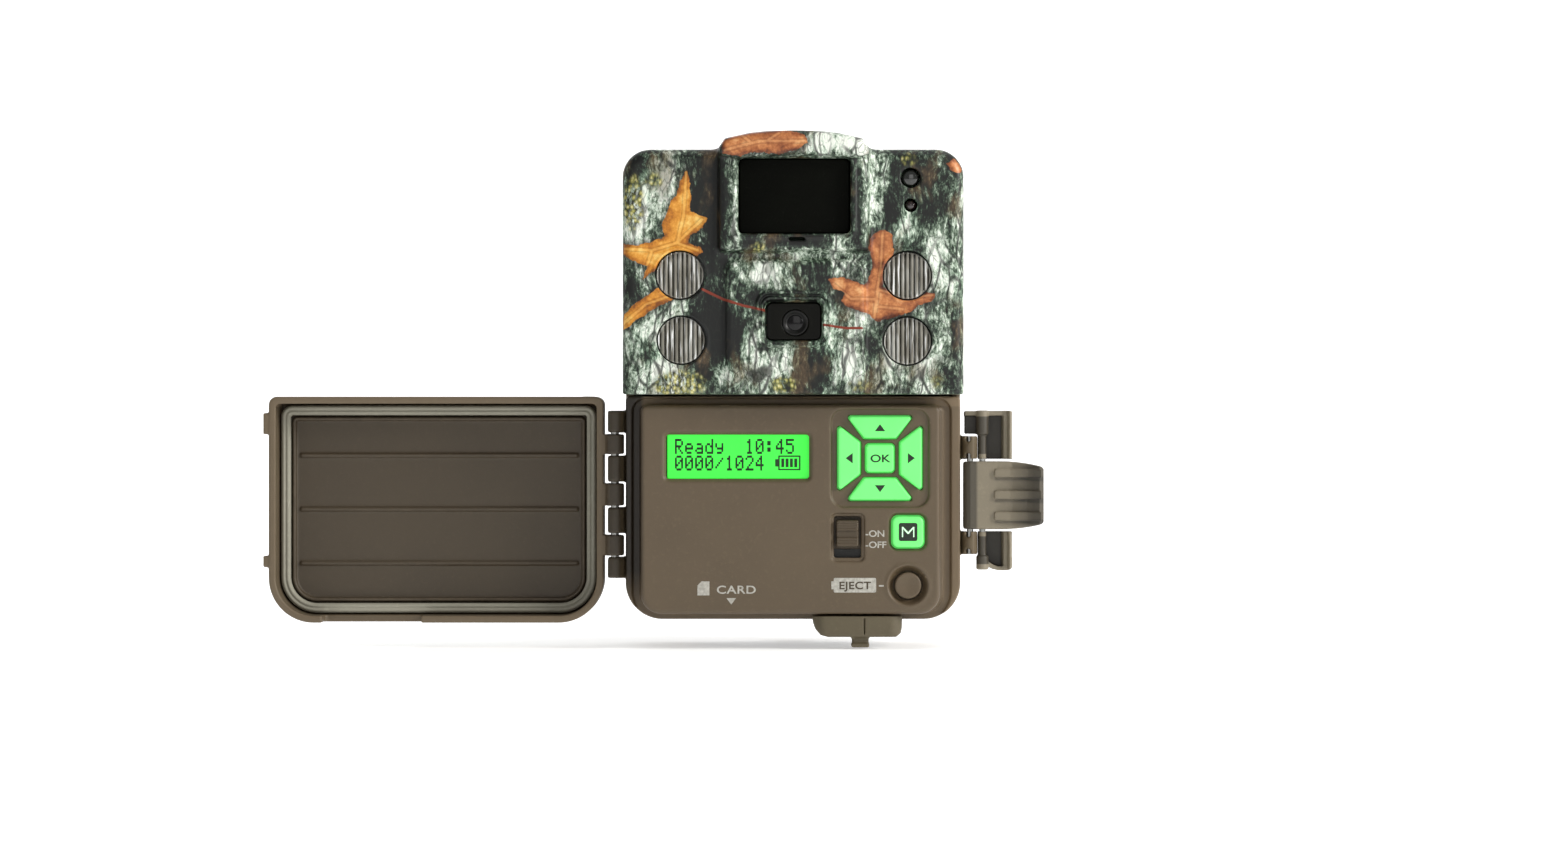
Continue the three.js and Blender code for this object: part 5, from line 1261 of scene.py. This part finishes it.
# ================================================================ tree bracket
def bracket():
    g = Grid(-34, 34, -7.9, 0.0, 25, 89, 0.28)
    x, y, z = g.x, g.y, g.z
    pts = [(-31, 25), (31, 25)]
    for i in range(9):
        pts += [(34, 28 + 58 * i / 9), (30.8, 28 + 58 * (i + 0.5) / 9)]
    pts += [(34, 86), (31, 89), (-31, 89), (-34, 86)]
    for i in range(8, -1, -1):
        pts += [(-30.8, 28 + 58 * (i + 0.5) / 9), (-34, 28 + 58 * i / 9)]
    d = pol(x, z, pts, 0.12)
    F = ext(d, y, -2.95, -0.02, 0.3, 0.25)
    # sunk field with crossed ribs, and a rim
    field = np.maximum(rr(x, z, -27.5, 27.5, 29.5, 84.5, 3.0), -1.1 - y)
    keep = np.minimum(np.minimum(np.abs(x) - 0.8, np.abs(z - 57) - 0.8), np.minimum(np.abs((x - (z - 57)) * 0.7071) - 0.8, np.abs((x + (z - 57)) * 0.7071) - 0.8))
    posts = np.minimum.reduce([circ(x, z, sx * 20, 57 + sz * 24, 5.3) for sx in (-1, 1) for sz in (-1, 1)])
    # the mounting face in the middle stays flat
    pad = rr(x, z, -8, 8, 49, 65, 2.5)
    field = np.maximum(np.maximum(field, -keep), np.maximum(-posts, -pad)).astype(F32)
    F = cut(F, field, 0.35)
    for sx in (-1, 1):
        for sz in (-1, 1):
            cx, cz = sx * 20, 57 + sz * 24
            F = smin(F, ext(circ(x, z, cx, cz, 4.5), y, -7.88, -2.5, 0.2, 0), 0.8)
            F = cut(F, ext(circ(x, z, cx, cz, 1.8), y, -9, 1))
            F = cut(F, ext(circ(x, z, cx, cz, 3.5), y, -2.0, 1), 0.2)
    shell("tree_bracket", F, g, BROWN_DEEP, "camera", ["mount_bracket"])
    k = 0
    for sz in (1, -1):
        for sx in (-1, 1):
            k += 1
            cx, cz = sx * 20, 57 + sz * 24
            g = Grid(cx - 3.1, cx + 3.1, -7.7, -0.5, cz - 3.1, cz + 3.1, 0.16)
            x, y, z = g.x, g.y, g.z
            F = ext(circ(x, z, cx, cz, 3.1), y, -1.6, -0.5, 0.1, 0.6)
            F = np.minimum(F, ext(circ(x, z, cx, cz, 1.45) + 0.12 * np.abs(np.mod(y, 0.8) - 0.4), y, -7.7, -1.2, 0.3, 0))
            turn = 0.4 + 1.3 * k
            u, w = (x - cx) * math.cos(turn) + (z - cz) * math.sin(turn), -(x - cx) * math.sin(turn) + (z - cz) * math.cos(turn)
            cross = np.minimum(np.maximum(np.abs(u) - 1.7, np.abs(w) - 0.36), np.maximum(np.abs(w) - 1.7, np.abs(u) - 0.36))
            F = cut(F, np.maximum(cross, -1.25 - y).astype(F32), 0.1)
            shell(f"bracket_screw_head_{k}", F, g, STEEL, "camera", [f"bracket_screw_{k}"])
    # screws of the case, down in the wells of the back
    for i, (cx, cz) in enumerate([(sx * 34.4, zz) for sx in (-1, 1) for zz in (17.0, 98.5)]):
        g = Grid(cx - 2.3, cx + 2.3, -11.6, -10.2, cz - 2.3, cz + 2.3, 0.14)
        x, y, z = g.x, g.y, g.z
        F = ext(circ(x, z, cx, cz, 2.2), y, -11.6, -10.25, 0.1, 0.5)
        turn = 0.9 + 0.8 * i
        u, w = (x - cx) * math.cos(turn) + (z - cz) * math.sin(turn), -(x - cx) * math.sin(turn) + (z - cz) * math.cos(turn)
        cross = np.minimum(np.maximum(np.abs(u) - 1.2, np.abs(w) - 0.28), np.maximum(np.abs(w) - 1.2, np.abs(u) - 0.28))
        F = cut(F, np.maximum(cross, -10.9 - y).astype(F32), 0.1)
        shell(f"case_screw_{i + 1}", F, g, STEEL, "camera")


bracket()

# brass thread in the boss
prof = [(4.1, 0.02), (3.5, 0.02), (3.2, 0.4)]
for i in range(18):
    prof += [(3.32, 0.45 + i * 0.47), (3.12, 0.68 + i * 0.47)]
prof += [(3.12, 9.2), (4.1, 9.2), (4.1, 8.2), (4.3, 8.0), (4.3, 1.6), (4.1, 1.4), (4.1, 0.02)]
v, f, k, n = [], [], len(prof), 64
for i in range(n):
    a = 2 * math.pi * i / n
    v += [(r * math.cos(a), -5.4 + r * math.sin(a), zz) for r, zz in prof]
for i in range(n):
    f += [[i * k + j, ((i + 1) % n) * k + j, ((i + 1) % n) * k + j + 1, i * k + j + 1] for j in range(k - 1)]
o = mesh_of("brass_thread", place(np.array(v)), f)
import bmesh
bm = bmesh.new()
bm.from_mesh(o.data)
bmesh.ops.remove_doubles(bm, verts=bm.verts, dist=1e-7)
bmesh.ops.recalc_face_normals(bm, faces=bm.faces)
bm.to_mesh(o.data)
bm.free()
dress(o, BRASS, "camera", ["tripod_insert"])

# ================================================================ cells: printed wrap and a capped end
WRAP, _t, _b = material("cell_wrap", srgb(34, 62, 52), 0.32, 0.0, Coat_Weight=0.6, Coat_Roughness=0.1)
_N = Net(_t)
_gen = _N.n("ShaderNodeTexCoord").outputs["Generated"]
_sep = _N.n("ShaderNodeSeparateXYZ")
_N.to(_gen, _sep.inputs[0])
_c = _N.ramp(_N.noise(220, 3), [(0.3, srgb(24, 50, 42)), (0.7, srgb(40, 72, 60))])
_c = _N.mix(_N.mask(_sep.outputs["Z"], 0.70, 0.702), _c, srgb(186, 140, 78))
_N.to(_N.mix(_N.mask(_sep.outputs["Z"], 0.935, 0.937), _c, srgb(150, 152, 154)), _b.inputs["Base Color"])
_N.bump(_N.noise(500, 3), 0.1, 0.00003, _b)

# ================================================================ the other nodes keep their CAD shape
BOARDM, _t, _b = material("circuit_board", srgb(20, 72, 44), 0.36, 0.0, Coat_Weight=0.4, Coat_Roughness=0.12)
_N = Net(_t)
_brick = _N.n("ShaderNodeTexBrick")
_brick.inputs["Scale"].default_value = 420
_brick.inputs["Mortar Size"].default_value = 0.06
_brick.inputs["Color1"].default_value = srgb(18, 66, 40)
_brick.inputs["Color2"].default_value = srgb(24, 84, 50)
_brick.inputs["Mortar"].default_value = srgb(58, 110, 70)
_N.to(_N.n("ShaderNodeTexCoord").outputs["Object"], _brick.inputs["Vector"])
_pads = _N.mask(_N.noise(700, 1), 0.68, 0.70)
_N.to(_N.mix(_pads, _brick.outputs["Color"], srgb(178, 162, 104)), _b.inputs["Base Color"])
_N.bump(_N.noise(900, 2), 0.15, 0.00004, _b)
CONTACT = metal("nickel_contact", (196, 192, 180), 0.26)
SPRING = metal("spring_wire", (178, 180, 182), 0.3, (300, 300, 1200))
EMIT = smoked("emitter_board", (34, 44, 34), 0.35, 0.4)
CARDM = moulded("card_shell", (24, 26, 30), 0.4, vary=0.12, grain=0.7)


def keep(name, mat, slot, bevel=0.25, segs=3):
    o = frame["nodes"][name]
    if not o.material_slots:
        o.data.materials.append(mat)
    for s in o.material_slots:
        s.link = "OBJECT"
        s.material = mat
    if bevel:
        m = o.modifiers.new("edge", "BEVEL")
        m.width, m.segments, m.limit_method = bevel / 1000, segs, "ANGLE"
        m.angle_limit = math.radians(38)
        m.harden_normals = False


for n_, m_, s_, b_ in (
        ("hinge_pin", STEEL, "steel", 0.15), ("lever_pin", STEEL, "steel", 0.12), ("link_pin", STEEL, "steel", 0.12),
        ("pir_sensor", STEEL, "steel", 0.2), ("microphone", CONTACT, "steel", 0.2), ("lens_barrel", BARREL, "lens_black", 0.15),
        ("lens_holder", BLACKP, "lens_black", 0.25), ("led_board_left", EMIT, "circuit_board", 0.1), ("led_board_right", EMIT, "circuit_board", 0.1),
        ("main_board", BOARDM, "circuit_board", 0.12), ("ui_board", BOARDM, "circuit_board", 0.12), ("lcd_module", BLACKP, "card_black", 0.2),
        ("power_switch_body", BLACKP, "card_black", 0.2), ("tray_catch", BLACKP, "dark_brown_plastic", 0.3),
        ("battery_tray", TRAYP, "dark_brown_plastic", 0.35), ("battery_contacts_lower", CONTACT, "steel", 0.1), ("battery_contacts_upper", CONTACT, "steel", 0.1),
        ("memory_card", CARDM, "card_black", 0.25), ("card_socket", CONTACT, "steel", 0.12), ("dc_jack", BLACKP, "card_black", 0.25)):
    keep(n_, m_, s_, b_)
for i in range(1, 7):
    keep(f"battery_cell_{i}", WRAP, "cell_wrap", 0.25)

# ================================================================ eject spring
lo_, hi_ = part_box("eject_spring")
y0_, y1_ = lo_[1] * 1000 + 0.28, hi_[1] * 1000 - 0.28
ring, wire, turns, steps = 2.45, 0.28, 4.0, 96
v, f, m_ = [], [], 10
for i in range(steps + 1):
    t = i / steps
    a = 2 * math.pi * turns * t
    # dead coils at both ends
    yy = y0_ + (y1_ - y0_) * (t + 0.045 * math.sin(2 * math.pi * t) * -1)
    c_ = np.array([EJECT[0] + ring * math.cos(a), yy, EJECT[1] + ring * math.sin(a)])
    out = np.array([math.cos(a), 0, math.sin(a)])
    for j in range(m_):
        b_ = 2 * math.pi * j / m_
        v.append(c_ + wire * (math.cos(b_) * out + math.sin(b_) * np.array([0, 1, 0])))
    if i:
        f += [[(i - 1) * m_ + j, (i - 1) * m_ + (j + 1) % m_, i * m_ + (j + 1) % m_, i * m_ + j] for j in range(m_)]
f += [list(range(m_ - 1, -1, -1)), [steps * m_ + j for j in range(m_)]]
o = mesh_of("eject_coil", place(np.array(v)), f)
dress(o, SPRING, "camera", ["eject_spring"])
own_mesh(o)
